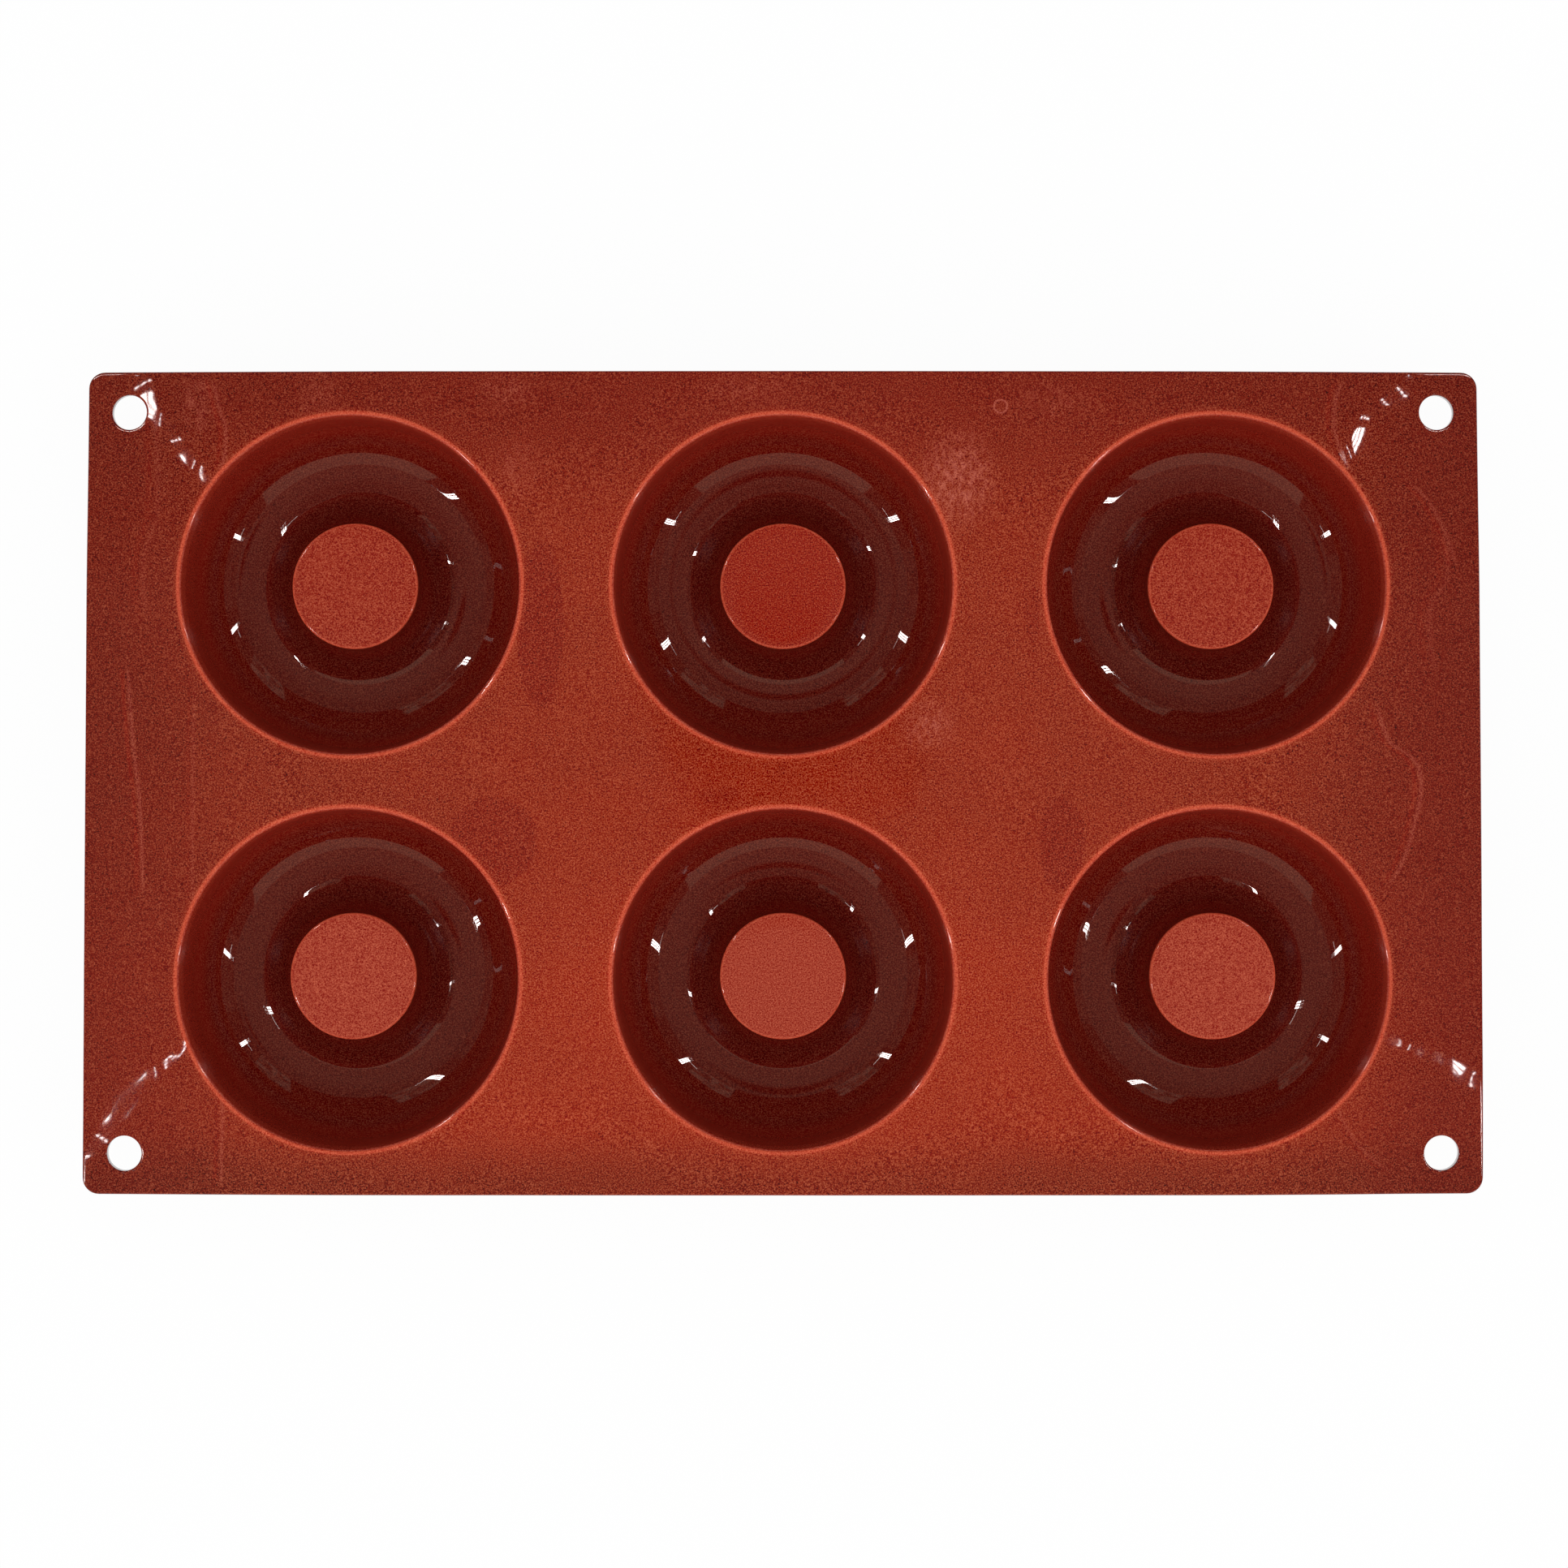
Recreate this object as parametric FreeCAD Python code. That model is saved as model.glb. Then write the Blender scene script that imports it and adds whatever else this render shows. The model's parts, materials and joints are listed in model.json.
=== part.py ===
"""Silicone baba mould: one moulded sheet with six ring-shaped cups.

The mould is a single piece of silicone rubber.  A flat rectangular sheet with
rounded corners and a hole near each corner carries two rows of three cups.
Each cup is a round, U-shaped groove around a low flat-topped plug, so that the
cake baked in it has a dished middle.  The wall of a cup follows its groove at
one thickness, so the plug is hollow from below, and the mould stands on the
round bottoms of its six cups.

Origin: middle of the mould, at the height of the cups' lowest circles.
+X runs along the row of three cups, +Z points out of the cups' open mouths.
"""
import FreeCAD
import Part
import math
import os

from FreeCAD import Vector

# Cavity, which is the shape of the cake
cavity_diameter = 72.6
cavity_depth = 23.0
cavity_draft = 4.0
rim_radius = 0.8

# Plug in the middle of the cavity: the straight part of its wall stands on the groove's arc
plug_diameter = 27.3
plug_straight_height = 2.74
plug_draft = 2.0
plug_edge_radius = 0.5

# Layout: cups in rows, with the sheet's flat between them and around them
cups_along = 3
cups_across = 2
gap_along = 20.4
gap_across = 11.9
margin_along = 20.7
margin_across = 9.7

# Sheet
sheet_thickness = 2.0
sheet_corner_radius = 3.5
sheet_edge_round = 0.4

# Corner holes, placed from the sheet's edges
hole_diameter = 7.5
hole_inset_along = 9.0
hole_inset_across = 8.75

# Walls below the sheet
cup_wall = 1.6
plug_top_thickness = 1.8

# How far a cutting solid reaches past the face that it opens
cut_margin = 2.0

# Layout worked out from the sizes above
cup_pitch_along = cavity_diameter + gap_along
cup_pitch_across = cavity_diameter + gap_across
sheet_length = cavity_diameter + (cups_along - 1) * cup_pitch_along + 2 * margin_along
sheet_width = cavity_diameter + (cups_across - 1) * cup_pitch_across + 2 * margin_across

# Heights above the cups' lowest circles
cavity_floor = cup_wall
sheet_top = cavity_floor + cavity_depth
sheet_underside = sheet_top - sheet_thickness


class CupSection:
    """Half section of a cup, at a distance below the cavity's own surface.

    With no offset it is the surface that the cake touches, and with the wall's
    thickness it is the underside.  The groove is one arc that touches the
    cavity's floor and runs tangent into the cavity's wall on one side and into
    the plug's wall on the other.  Both walls lean by their draft.
    """

    def __init__(self, offset):
        self.offset = offset
        self.wall_lean = math.radians(cavity_draft)
        self.plug_lean = math.radians(plug_draft)
        self.radius = self.groove_radius()
        self.bend_height = cavity_floor + self.radius * (1 - math.sin(self.plug_lean))
        self.plug_top = self.bend_height + plug_straight_height
        self.crown = self.plug_radius(self.bend_height, 0) + self.radius * math.cos(self.plug_lean)

    def groove_radius(self):
        """Radius of the arc that fits between the two leaning walls and the floor."""
        wall_at_floor = self.wall_radius(cavity_floor, 0)
        plug_at_bend = plug_diameter / 2 + plug_straight_height * math.tan(self.plug_lean)
        wall_share = math.cos(self.wall_lean) - (1 - math.sin(self.wall_lean)) * math.tan(self.wall_lean)
        return (wall_at_floor - plug_at_bend) / (math.cos(self.plug_lean) + wall_share)

    def wall_radius(self, height, offset):
        """Distance from the cup's axis to its outer wall."""
        lean = (sheet_top - height) * math.tan(self.wall_lean)
        return cavity_diameter / 2 - lean + offset / math.cos(self.wall_lean)

    def plug_radius(self, height, offset):
        """Distance from the cup's axis to the plug's wall."""
        lean = (self.plug_top - height) * math.tan(self.plug_lean)
        return plug_diameter / 2 + lean - offset / math.cos(self.plug_lean)

    def wall_point(self, height):
        return section_point(self.wall_radius(height, self.offset), height)

    def plug_point(self, height):
        return section_point(self.plug_radius(height, self.offset), height)

    def groove(self):
        centre = section_point(self.crown, cavity_floor + self.radius)
        return arc(centre, self.radius + self.offset, plug_draft - 180, -cavity_draft)

    def plug_corner(self):
        """Rounding from the plug's flat to its wall."""
        beside = self.plug_point(self.plug_top - plug_edge_radius)
        centre = beside - Vector(plug_edge_radius / math.cos(self.plug_lean), 0, 0)
        return arc(centre, plug_edge_radius, 90, plug_draft)

    def rim(self):
        """Rounding from the cavity's wall to the top of the sheet."""
        beside = self.wall_point(sheet_top - rim_radius)
        centre = beside + Vector(rim_radius / math.cos(self.wall_lean), 0, 0)
        return arc(centre, rim_radius, 180 - cavity_draft, 90)


def section_point(axis_distance, height):
    return Vector(axis_distance, 0, height)


def line(start, end):
    return Part.LineSegment(start, end).toShape()


def arc(centre, radius, start_angle, end_angle):
    """Arc in the XZ plane, with angles in degrees from +X towards +Z."""

    def on_arc(angle):
        turn = math.radians(angle)
        return centre + Vector(radius * math.cos(turn), 0, radius * math.sin(turn))

    middle_angle = (start_angle + end_angle) / 2
    return Part.Arc(on_arc(start_angle), on_arc(middle_angle), on_arc(end_angle)).toShape()


def start_of(edge):
    return edge.valueAt(edge.FirstParameter)


def end_of(edge):
    return edge.valueAt(edge.LastParameter)


def revolved(edges):
    """Solid of revolution about the Z axis, from edges that run from the axis to the axis."""
    axis_edge = line(end_of(edges[-1]), start_of(edges[0]))
    face = Part.Face(Part.Wire(edges + [axis_edge]))
    return face.revolve(Vector(0, 0, 0), Vector(0, 0, 1), 360)


def cavity_space():
    """Space inside one cup, which the cake fills, reaching a little above the sheet."""
    section = CupSection(0)
    corner = section.plug_corner()
    groove = section.groove()
    rim = section.rim()
    lid = sheet_top + cut_margin
    lid_edge = section_point(end_of(rim).x, lid)
    return revolved([
        line(section_point(0, section.plug_top), start_of(corner)),
        corner,
        line(end_of(corner), start_of(groove)),
        groove,
        line(end_of(groove), start_of(rim)),
        rim,
        line(end_of(rim), lid_edge),
        line(lid_edge, section_point(0, lid)),
    ])


def cup_blank():
    """One cup below the sheet with its cavity still filled, and its plug hollow."""
    section = CupSection(cup_wall)
    groove = section.groove()
    ceiling = section.plug_top - plug_top_thickness
    seam = sheet_top - sheet_thickness / 2
    return revolved([
        line(section_point(0, ceiling), section.plug_point(ceiling)),
        line(section.plug_point(ceiling), start_of(groove)),
        groove,
        line(end_of(groove), section.wall_point(seam)),
        line(section.wall_point(seam), section_point(0, seam)),
    ])


def cup_centres():
    """Centres of the cups, evenly spaced about the middle of the sheet."""
    for row in range(cups_across):
        for column in range(cups_along):
            x = (column - (cups_along - 1) / 2) * cup_pitch_along
            y = (row - (cups_across - 1) / 2) * cup_pitch_across
            yield Vector(x, y, 0)


def hole_centres():
    x = sheet_length / 2 - hole_inset_along
    y = sheet_width / 2 - hole_inset_across
    return [Vector(side_x * x, side_y * y, 0) for side_x in (-1, 1) for side_y in (-1, 1)]


def rounded_sheet():
    """Flat sheet with rounded corners and a softened upper edge.

    The lower edge lies on the mould's parting line and stays sharp.
    """
    corner = Vector(-sheet_length / 2, -sheet_width / 2, sheet_underside)
    sheet = Part.makeBox(sheet_length, sheet_width, sheet_thickness, corner)
    upright = [edge for edge in sheet.Edges if edge.Length == edge.BoundBox.ZLength]
    sheet = sheet.makeFillet(sheet_corner_radius, upright)
    upper = [edge for edge in sheet.Edges if edge.CenterOfMass.z > sheet_top - sheet_edge_round]
    return sheet.makeFillet(sheet_edge_round, upper)


def corner_drill():
    """Cutting solid for a corner hole, which reaches past both faces of the sheet."""
    start = Vector(0, 0, sheet_underside - cut_margin)
    return Part.makeCylinder(hole_diameter / 2, sheet_thickness + 2 * cut_margin, start)


def mould():
    """The whole mould: the sheet and the cups below it, with cavities and holes cut out."""
    solid = rounded_sheet()
    for centre in cup_centres():
        solid = solid.fuse(cup_blank().translated(centre))
    for centre in cup_centres():
        solid = solid.cut(cavity_space().translated(centre))
    for centre in hole_centres():
        solid = solid.cut(corner_drill().translated(centre))
    return solid.removeSplitter()


def main():
    os.makedirs("parts", exist_ok=True)
    shape = mould()
    shape.exportStep("parts/baba_mould.step")
    section = CupSection(0)
    print("solids", len(shape.Solids), "valid", shape.isValid(), "faces", len(shape.Faces))
    print("sheet", sheet_length, "by", sheet_width, "top at", sheet_top)
    print("groove arc", round(section.radius, 3), "on a circle of", round(2 * section.crown, 3))
    print("plug's flat at", round(section.plug_top, 3), "volume", round(shape.Volume / 1000, 1), "cm3")


main()
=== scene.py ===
"""Silicone baba mould: the moulded sheet, its finish and a plain stage.

Laid out as an add-on and run as a script.  The sheet and its six cups are one
mesh with the construction's own section, which also has what soft rubber adds:
the sheet sinks towards its edges and corners, and its face is slightly uneven.
"""
import json
import math

import bmesh
import bpy
import numpy as np
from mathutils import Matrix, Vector
from mathutils.geometry import delaunay_2d_cdt

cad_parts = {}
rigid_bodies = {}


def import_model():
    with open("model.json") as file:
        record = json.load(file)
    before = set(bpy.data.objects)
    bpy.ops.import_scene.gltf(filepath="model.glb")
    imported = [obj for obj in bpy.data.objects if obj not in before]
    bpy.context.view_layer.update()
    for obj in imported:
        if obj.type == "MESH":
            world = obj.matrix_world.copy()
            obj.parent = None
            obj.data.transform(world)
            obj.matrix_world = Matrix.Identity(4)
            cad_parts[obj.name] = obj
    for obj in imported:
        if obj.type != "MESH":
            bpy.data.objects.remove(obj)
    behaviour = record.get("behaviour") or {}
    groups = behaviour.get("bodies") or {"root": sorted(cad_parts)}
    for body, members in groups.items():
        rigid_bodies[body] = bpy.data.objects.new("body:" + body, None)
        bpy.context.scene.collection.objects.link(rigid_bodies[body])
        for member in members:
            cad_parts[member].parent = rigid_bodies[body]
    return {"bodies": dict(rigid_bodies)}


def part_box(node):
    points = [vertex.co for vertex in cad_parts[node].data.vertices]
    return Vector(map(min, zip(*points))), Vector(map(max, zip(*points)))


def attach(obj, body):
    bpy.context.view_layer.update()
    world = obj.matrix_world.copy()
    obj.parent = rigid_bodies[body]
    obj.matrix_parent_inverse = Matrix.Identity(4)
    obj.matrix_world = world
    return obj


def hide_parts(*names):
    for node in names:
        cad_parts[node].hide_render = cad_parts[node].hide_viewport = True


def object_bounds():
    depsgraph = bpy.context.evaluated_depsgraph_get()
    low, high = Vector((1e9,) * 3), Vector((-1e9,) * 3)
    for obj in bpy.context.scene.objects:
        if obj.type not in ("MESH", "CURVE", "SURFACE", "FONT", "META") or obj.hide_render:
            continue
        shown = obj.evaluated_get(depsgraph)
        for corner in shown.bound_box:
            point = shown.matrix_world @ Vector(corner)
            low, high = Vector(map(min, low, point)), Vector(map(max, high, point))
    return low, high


bl_info = {
    "name": "Silicone Baba Mould",
    "version": (1, 0, 0),
    "blender": (4, 5, 0),
    "location": "3D View > Sidebar > Baba Mould",
    "description": "Dresses the frame of a ring-cup baking mould in glossy silicone rubber",
    "category": "Object",
}

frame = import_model()
BODY = next(iter(frame["bodies"]))
NODE = "baba_mould"
MATERIAL = "silicone_rubber"
CAD_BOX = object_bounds()
SHEET_LOW, SHEET_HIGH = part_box(NODE)

MM = 0.001
WELD_DISTANCE = 0.01 * MM
POLISH = "polish"


def a_length(name, description, default):
    return bpy.props.FloatProperty(name=name, description=description, default=default, unit="LENGTH")


def a_count(name, description, default, lowest=1):
    return bpy.props.IntProperty(name=name, description=description, default=default, min=lowest)


def a_number(name, description, default, subtype="NONE"):
    return bpy.props.FloatProperty(name=name, description=description, default=default, subtype=subtype)


def a_colour(name, description, default):
    return bpy.props.FloatVectorProperty(
        name=name, description=description, default=default, size=3, subtype="COLOR"
    )


class MouldSizes(bpy.types.PropertyGroup):
    """Sizes of the moulded sheet and of its ring cups."""

    sheet_length: a_length(
        "Sheet length", "Length of the sheet along its rows of cups", SHEET_HIGH.x - SHEET_LOW.x
    )
    sheet_width: a_length(
        "Sheet width", "Width of the sheet across its rows of cups", SHEET_HIGH.y - SHEET_LOW.y
    )
    sheet_top: a_length(
        "Sheet height", "Height of the sheet's top face above the cups' lowest circles", SHEET_HIGH.z
    )
    sheet_thickness: a_length("Sheet thickness", "Thickness of the flat sheet", 2.0 * MM)
    sheet_corner_radius: a_length("Corner radius", "Radius of the sheet's four corners", 3.5 * MM)
    edge_round: a_length("Edge rounding", "Rounding of the sheet's upper edge", 0.4 * MM)
    hole_diameter: a_length("Hole diameter", "Bore of the corner holes", 7.5 * MM)
    hole_round: a_length("Hole rounding", "Rounding where a corner hole opens in the sheet's top", 0.3 * MM)
    hole_inset_along: a_length(
        "Hole inset along", "Distance from a corner hole's centre to the short edge", 9.0 * MM
    )
    hole_inset_across: a_length(
        "Hole inset across", "Distance from a corner hole's centre to the long edge", 8.75 * MM
    )
    cups_along: a_count("Cups along", "Number of cups in a row", 3)
    cups_across: a_count("Cups across", "Number of rows of cups", 2)
    pitch_along: a_length("Pitch along", "Distance between the centres of two cups in a row", 93.0 * MM)
    pitch_across: a_length("Pitch across", "Distance between the centres of two rows", 84.5 * MM)
    cavity_diameter: a_length(
        "Cavity diameter", "Diameter of a cavity where its wall would meet the sheet's top", 72.6 * MM
    )
    cavity_draft: a_number("Cavity draft", "Lean of the cavity's outer wall", math.radians(4), "ANGLE")
    rim_radius: a_length("Rim radius", "Rounding between a cavity's wall and the sheet's top", 0.8 * MM)
    plug_diameter: a_length("Plug diameter", "Diameter of the plug's flat top", 27.3 * MM)
    plug_straight_height: a_length(
        "Plug straight height", "Height of the straight part of the plug's wall", 2.74 * MM
    )
    plug_draft: a_number("Plug draft", "Lean of the plug's wall", math.radians(2), "ANGLE")
    plug_edge_radius: a_length("Plug edge radius", "Rounding of the plug's upper edge", 0.5 * MM)
    cup_wall: a_length("Cup wall", "Thickness of a cup's wall", 1.6 * MM)
    plug_top_thickness: a_length("Plug top thickness", "Thickness of the plug's flat top", 1.8 * MM)
    under_rim_radius: a_length(
        "Under-rim radius", "Rounding between a cup's outer wall and the sheet's underside", 1.2 * MM
    )
    segments: a_count("Segments", "Straight steps round a cup", 108, lowest=24)
    face_step: a_length("Face step", "Spacing of the mesh on the sheet's top face", 1.7 * MM)


class SiliconeFinish(bpy.types.PropertyGroup):
    """Colours and gloss of the silicone rubber, with the painted shade of the cavities and the painted glow
    of thin edges.
    """

    sheet_colour: a_colour("Sheet colour", "Colour of the sheet's satin face", (0.300, 0.0255, 0.0068))
    plug_colour: a_colour("Plug colour", "Colour of the plugs' flat tops", (0.39, 0.034, 0.013))
    bare_plug_colour: a_colour(
        "Bare plug colour", "Colour of the one plug whose flat top is rubbed clean", (0.325, 0.014, 0.001)
    )
    # Darker than the sheet: painted shade of the deep cavity
    wall_colour: a_colour(
        "Wall colour", "Colour of the polished outer walls of the cavities", (0.163, 0.0098, 0.0043)
    )
    # Darker than the sheet: painted shade of the deep cavity
    groove_colour: a_colour(
        "Groove colour", "Colour of the polished bottoms of the grooves", (0.150, 0.0090, 0.0048)
    )
    # Painted glow: light that comes through thin edges, painted into their colour
    edge_glow_colour: a_colour(
        "Edge glow colour",
        "Lighter colour of thin edges, where light comes through the rubber",
        (0.60, 0.085, 0.040),
    )
    haze_colour: a_colour("Haze colour", "Colour of the pale rubbed haze on the sheet", (0.50, 0.11, 0.07))
    sheet_roughness: a_number("Sheet roughness", "Roughness of the sheet's face", 0.025, "FACTOR")
    cavity_roughness: a_number("Cavity roughness", "Roughness of the polished cavities", 0.015, "FACTOR")


class StageSettings(bpy.types.PropertyGroup):
    """Camera and light."""

    camera_height: a_length("Camera height", "Height of the camera above the sheet's top", 730 * MM)
    camera_offset: bpy.props.FloatVectorProperty(
        name="Camera offset",
        description="Point of the sheet's top straight below the camera",
        default=(-0.8 * MM, 11.7 * MM),
        size=2,
        subtype="XYZ",
        unit="LENGTH",
    )
    camera_tilt: a_number(
        "Camera tilt", "Lean of the view from straight down to the back edge", math.radians(2.0), "ANGLE"
    )
    lens: a_number("Lens", "Focal length of the camera in millimetres on a 36 mm sensor", 78.2)
    shift: bpy.props.FloatVectorProperty(
        name="Shift",
        description="Shift of the lens across and up, as shares of the frame",
        default=(0.0030, -0.1123),
        size=2,
    )
    tower_radiance: a_number("Tower radiance", "Brightness of the lamp towers, where 1 is white", 65.0)
    sky_strength: a_number("Sky strength", "Strength of the even light from all round", 1.0)


class Wire:
    """Output of a node that takes part in sums, and adds Math nodes as it goes."""

    def __init__(self, nodes, socket):
        self.nodes = nodes
        self.socket = socket

    def output(self, name):
        """Another output of the same node."""
        return Wire(self.nodes, self.socket.node.outputs[name])

    def __add__(self, other):
        return self.nodes.maths("ADD", self, other)

    def __radd__(self, other):
        return self.nodes.maths("ADD", other, self)

    def __sub__(self, other):
        return self.nodes.maths("SUBTRACT", self, other)

    def __rsub__(self, other):
        return self.nodes.maths("SUBTRACT", other, self)

    def __mul__(self, other):
        return self.nodes.maths("MULTIPLY", self, other)

    def __rmul__(self, other):
        return self.nodes.maths("MULTIPLY", other, self)

    def __truediv__(self, other):
        return self.nodes.maths("DIVIDE", self, other)

    def __rtruediv__(self, other):
        return self.nodes.maths("DIVIDE", other, self)

    def __abs__(self):
        return self.nodes.maths("ABSOLUTE", self)


class Nodes:
    """Node tree of the cups, of a material or of the world, written as expressions."""

    def __init__(self, tree):
        self.tree = tree
        tree.nodes.clear()

    def node(self, kind, settings=None, *values, **named):
        """Adds a node: its settings first, then the values or links of its sockets."""
        node = self.tree.nodes.new(kind)
        for key, value in (settings or {}).items():
            if key == "curve":
                self.bend_curve(node, value)
            else:
                setattr(node, key, value)
        for key, value in enumerate(values):
            self.feed(node.inputs[key], value)
        for key, value in named.items():
            self.feed(node.inputs[key.replace("_", " ")], value)
        return Wire(self, node.outputs[0]) if node.outputs else None

    def feed(self, socket, value):
        """Links a socket or sets its value, and leaves it alone where there is none."""
        if isinstance(value, Wire):
            self.tree.links.new(value.socket, socket)
        elif socket.type == "RGBA" and value is not None:
            socket.default_value = (*value, 1)
        elif value is not None:
            socket.default_value = value

    def bend_curve(self, node, points):
        """Sets the points of a Float Curve, each between 0 and 1 both ways."""
        curve = node.mapping.curves[0]
        while len(curve.points) < len(points):
            curve.points.new(0.5, 0.5)
        for point, place in zip(curve.points, points):
            point.location = place
        node.mapping.update()

    def maths(self, operation, *values):
        return self.node("ShaderNodeMath", {"operation": operation}, *values)

    def vectors(self, operation, *values, **named):
        return self.node("ShaderNodeVectorMath", {"operation": operation}, *values, **named)

    def split(self, vector):
        """The three numbers of a vector."""
        axes = self.node("ShaderNodeSeparateXYZ", None, vector)
        return [axes.output(name) for name in "XYZ"]

    def fade(self, value, start, end):
        """Smooth step from 0 at start to 1 at end, where end may be below start."""
        settings = {"interpolation_type": "SMOOTHSTEP"}
        if start <= end:
            return self.node("ShaderNodeMapRange", settings, value, start, end, 0.0, 1.0)
        return self.node("ShaderNodeMapRange", settings, value, end, start, 1.0, 0.0)

    def mix(self, factor, first, second):
        """Colour between two colours."""
        no_numbers_or_vectors = [None] * 5
        values = [factor, *no_numbers_or_vectors, first, second]
        return self.node("ShaderNodeMix", {"data_type": "RGBA"}, *values).output(2)

    def tint(self, colour, strength):
        """Colour made lighter or darker by a number that varies over the surface."""
        return self.vectors("SCALE", colour, Scale=strength)

    def distance(self, first, second):
        """Length of a pair of numbers."""
        return self.maths("SQRT", first * first + second * second)

    def lower(self, first, second):
        return self.maths("MINIMUM", first, second)

    def highest(self, *values):
        """The highest of two or more numbers."""
        result = values[0]
        for value in values[1:]:
            result = self.maths("MAXIMUM", result, value)
        return result

    def noise(self, place, scale, detail, roughness=0.5, distortion=0.0):
        """Noise between 0 and 1, with its scale in lumps a unit of its place."""
        return self.node(
            "ShaderNodeTexNoise",
            {"noise_dimensions": "3D"},
            Vector=place,
            Scale=scale,
            Detail=detail,
            Roughness=roughness,
            Distortion=distortion,
        )


def add_object(name, data):
    """Object in the scene for a mesh, a lamp or a camera."""
    made = bpy.data.objects.new(name, data)
    bpy.context.scene.collection.objects.link(made)
    return made


def new_material(name):
    """Material with an empty node tree."""
    material = bpy.data.materials.new(name)
    material.use_nodes = True
    return material, Nodes(material.node_tree)


class CupSection:
    """Half section of a cup, at a distance below the cavity's own surface.

    The groove is one arc that touches the cavity's floor and runs tangent into
    the cavity's wall on one side and into the plug's wall on the other.
    """

    def __init__(self, sizes, offset):
        self.sizes = sizes
        self.offset = offset
        self.wall_lean = sizes.cavity_draft
        self.plug_lean = sizes.plug_draft
        self.floor = sizes.cup_wall
        self.radius = self.groove_radius()
        bend_height = self.floor + self.radius * (1 - math.sin(self.plug_lean))
        self.plug_top = bend_height + sizes.plug_straight_height
        self.crown = self.plug_radius(bend_height, 0) + self.radius * math.cos(self.plug_lean)

    def groove_radius(self):
        """Radius of the arc that fits between the two leaning walls and the floor."""
        plug_at_bend = self.sizes.plug_diameter / 2
        plug_at_bend += self.sizes.plug_straight_height * math.tan(self.plug_lean)
        lean = self.wall_lean
        wall_share = math.cos(lean) - (1 - math.sin(lean)) * math.tan(lean)
        span = self.wall_radius(self.floor, 0) - plug_at_bend
        return span / (math.cos(self.plug_lean) + wall_share)

    def wall_radius(self, height, offset):
        lean = (self.sizes.sheet_top - height) * math.tan(self.wall_lean)
        return self.sizes.cavity_diameter / 2 - lean + offset / math.cos(self.wall_lean)

    def plug_radius(self, height, offset):
        lean = (self.plug_top - height) * math.tan(self.plug_lean)
        return self.sizes.plug_diameter / 2 + lean - offset / math.cos(self.plug_lean)

    def wall_point(self, height):
        return self.wall_radius(height, self.offset), height

    def plug_point(self, height):
        return self.plug_radius(height, self.offset), height

    def groove(self, steps):
        """Groove's arc, from the plug's side to the outer wall's."""
        centre = (self.crown, self.floor + self.radius)
        start = self.plug_lean - math.pi
        return arc_points(centre, self.radius + self.offset, start, -self.wall_lean, steps)

    def plug_corner(self, steps):
        """Rounding from the plug's flat to its wall."""
        radius = self.sizes.plug_edge_radius
        distance, height = self.plug_point(self.plug_top - radius)
        centre = (distance - radius / math.cos(self.plug_lean), height)
        return arc_points(centre, radius, math.pi / 2, self.plug_lean, steps)

    def wall_corner(self, face_height, radius, steps):
        """Rounding from the outer wall to a level face above it."""
        distance, height = self.wall_point(face_height - radius)
        centre = (distance + radius / math.cos(self.wall_lean), height)
        return arc_points(centre, radius, math.pi - self.wall_lean, math.pi / 2, steps)


def around(centre, radius, angle):
    """Point at a distance and an angle from a centre, in a section or in plan."""
    return centre[0] + radius * math.cos(angle), centre[1] + radius * math.sin(angle)


def arc_points(centre, radius, start, end, steps):
    """Points of an arc in a section, each a distance from the axis and a height."""
    return [around(centre, radius, start + (end - start) * step / steps) for step in range(steps + 1)]


def between(start, end, share):
    """Point or pair of numbers at a share of the way between two."""
    return tuple(first + (last - first) * share for first, last in zip(start, end))


def evenly(start, end, steps):
    """Points between two points of a section, without its two ends."""
    return [between(start, end, step / steps) for step in range(1, steps)]


# Lean of the groove's floor, in degrees, at distances from the cup's axis in millimetres:
# a nearly level middle between two soft creases, as the mould's own tool left it
FLOOR_LEANS = [
    (19.0, -26.0), (19.8, -21.0), (20.3, -18.0), (20.8, -16.0), (21.25, -14.0), (21.4, -9.5),
    (22.4, -6.0), (23.3, -3.0), (24.2, 0.0), (25.2, 3.2), (26.2, 6.0), (27.35, 8.8),
    (27.55, 16.0), (28.2, 19.0), (28.9, 22.0), (29.6, 25.8), (30.1, 29.5),
]
FLOOR_MIDDLE = 24.2
FLOOR_STEPS = 3

# Width of the level strip beside a rounding, which keeps the face's shading level up to it
LEVEL_STRIP = 0.2 * MM

RIM_STEPS = 8
WALL_STEPS = 5
BEND_STEPS = 9
BEND_REACH = 0.38
CORNER_STEPS = 5
FLAT_STEPS = 4
UNDER_GROOVE_STEPS = 18
UNDER_CORNER_STEPS = 4


def floor_line(sizes):
    """Points of the groove's floor with their leans, worked out from the table of leans."""
    places = []
    for near, far in zip(FLOOR_LEANS, FLOOR_LEANS[1:]):
        places += [between(near, far, step / FLOOR_STEPS) for step in range(FLOOR_STEPS)]
    places.append(FLOOR_LEANS[-1])
    distances = np.array([distance for distance, _ in places]) * MM
    leans = np.radians([lean for _, lean in places])
    climbs = np.diff(distances) * (np.tan(leans[1:]) + np.tan(leans[:-1])) / 2
    heights = np.concatenate([[0], np.cumsum(climbs)])
    heights += sizes.cup_wall - np.interp(FLOOR_MIDDLE * MM, distances, heights)
    return list(zip(distances, heights, leans))


def bend(start, start_lean, end, end_lean, steps):
    """Smooth bend between two points of a section, without its ends."""
    reach = math.dist(start, end) * BEND_REACH
    held = (start, around(start, reach, start_lean), around(end, -reach, end_lean), end)
    points = []
    for step in range(1, steps):
        share = step / steps
        rest = 1 - share
        weights = (rest ** 3, 3 * rest ** 2 * share, 3 * rest * share ** 2, share ** 3)
        points.append(tuple(sum(w * point[axis] for w, point in zip(weights, held)) for axis in (0, 1)))
    return points


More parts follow.
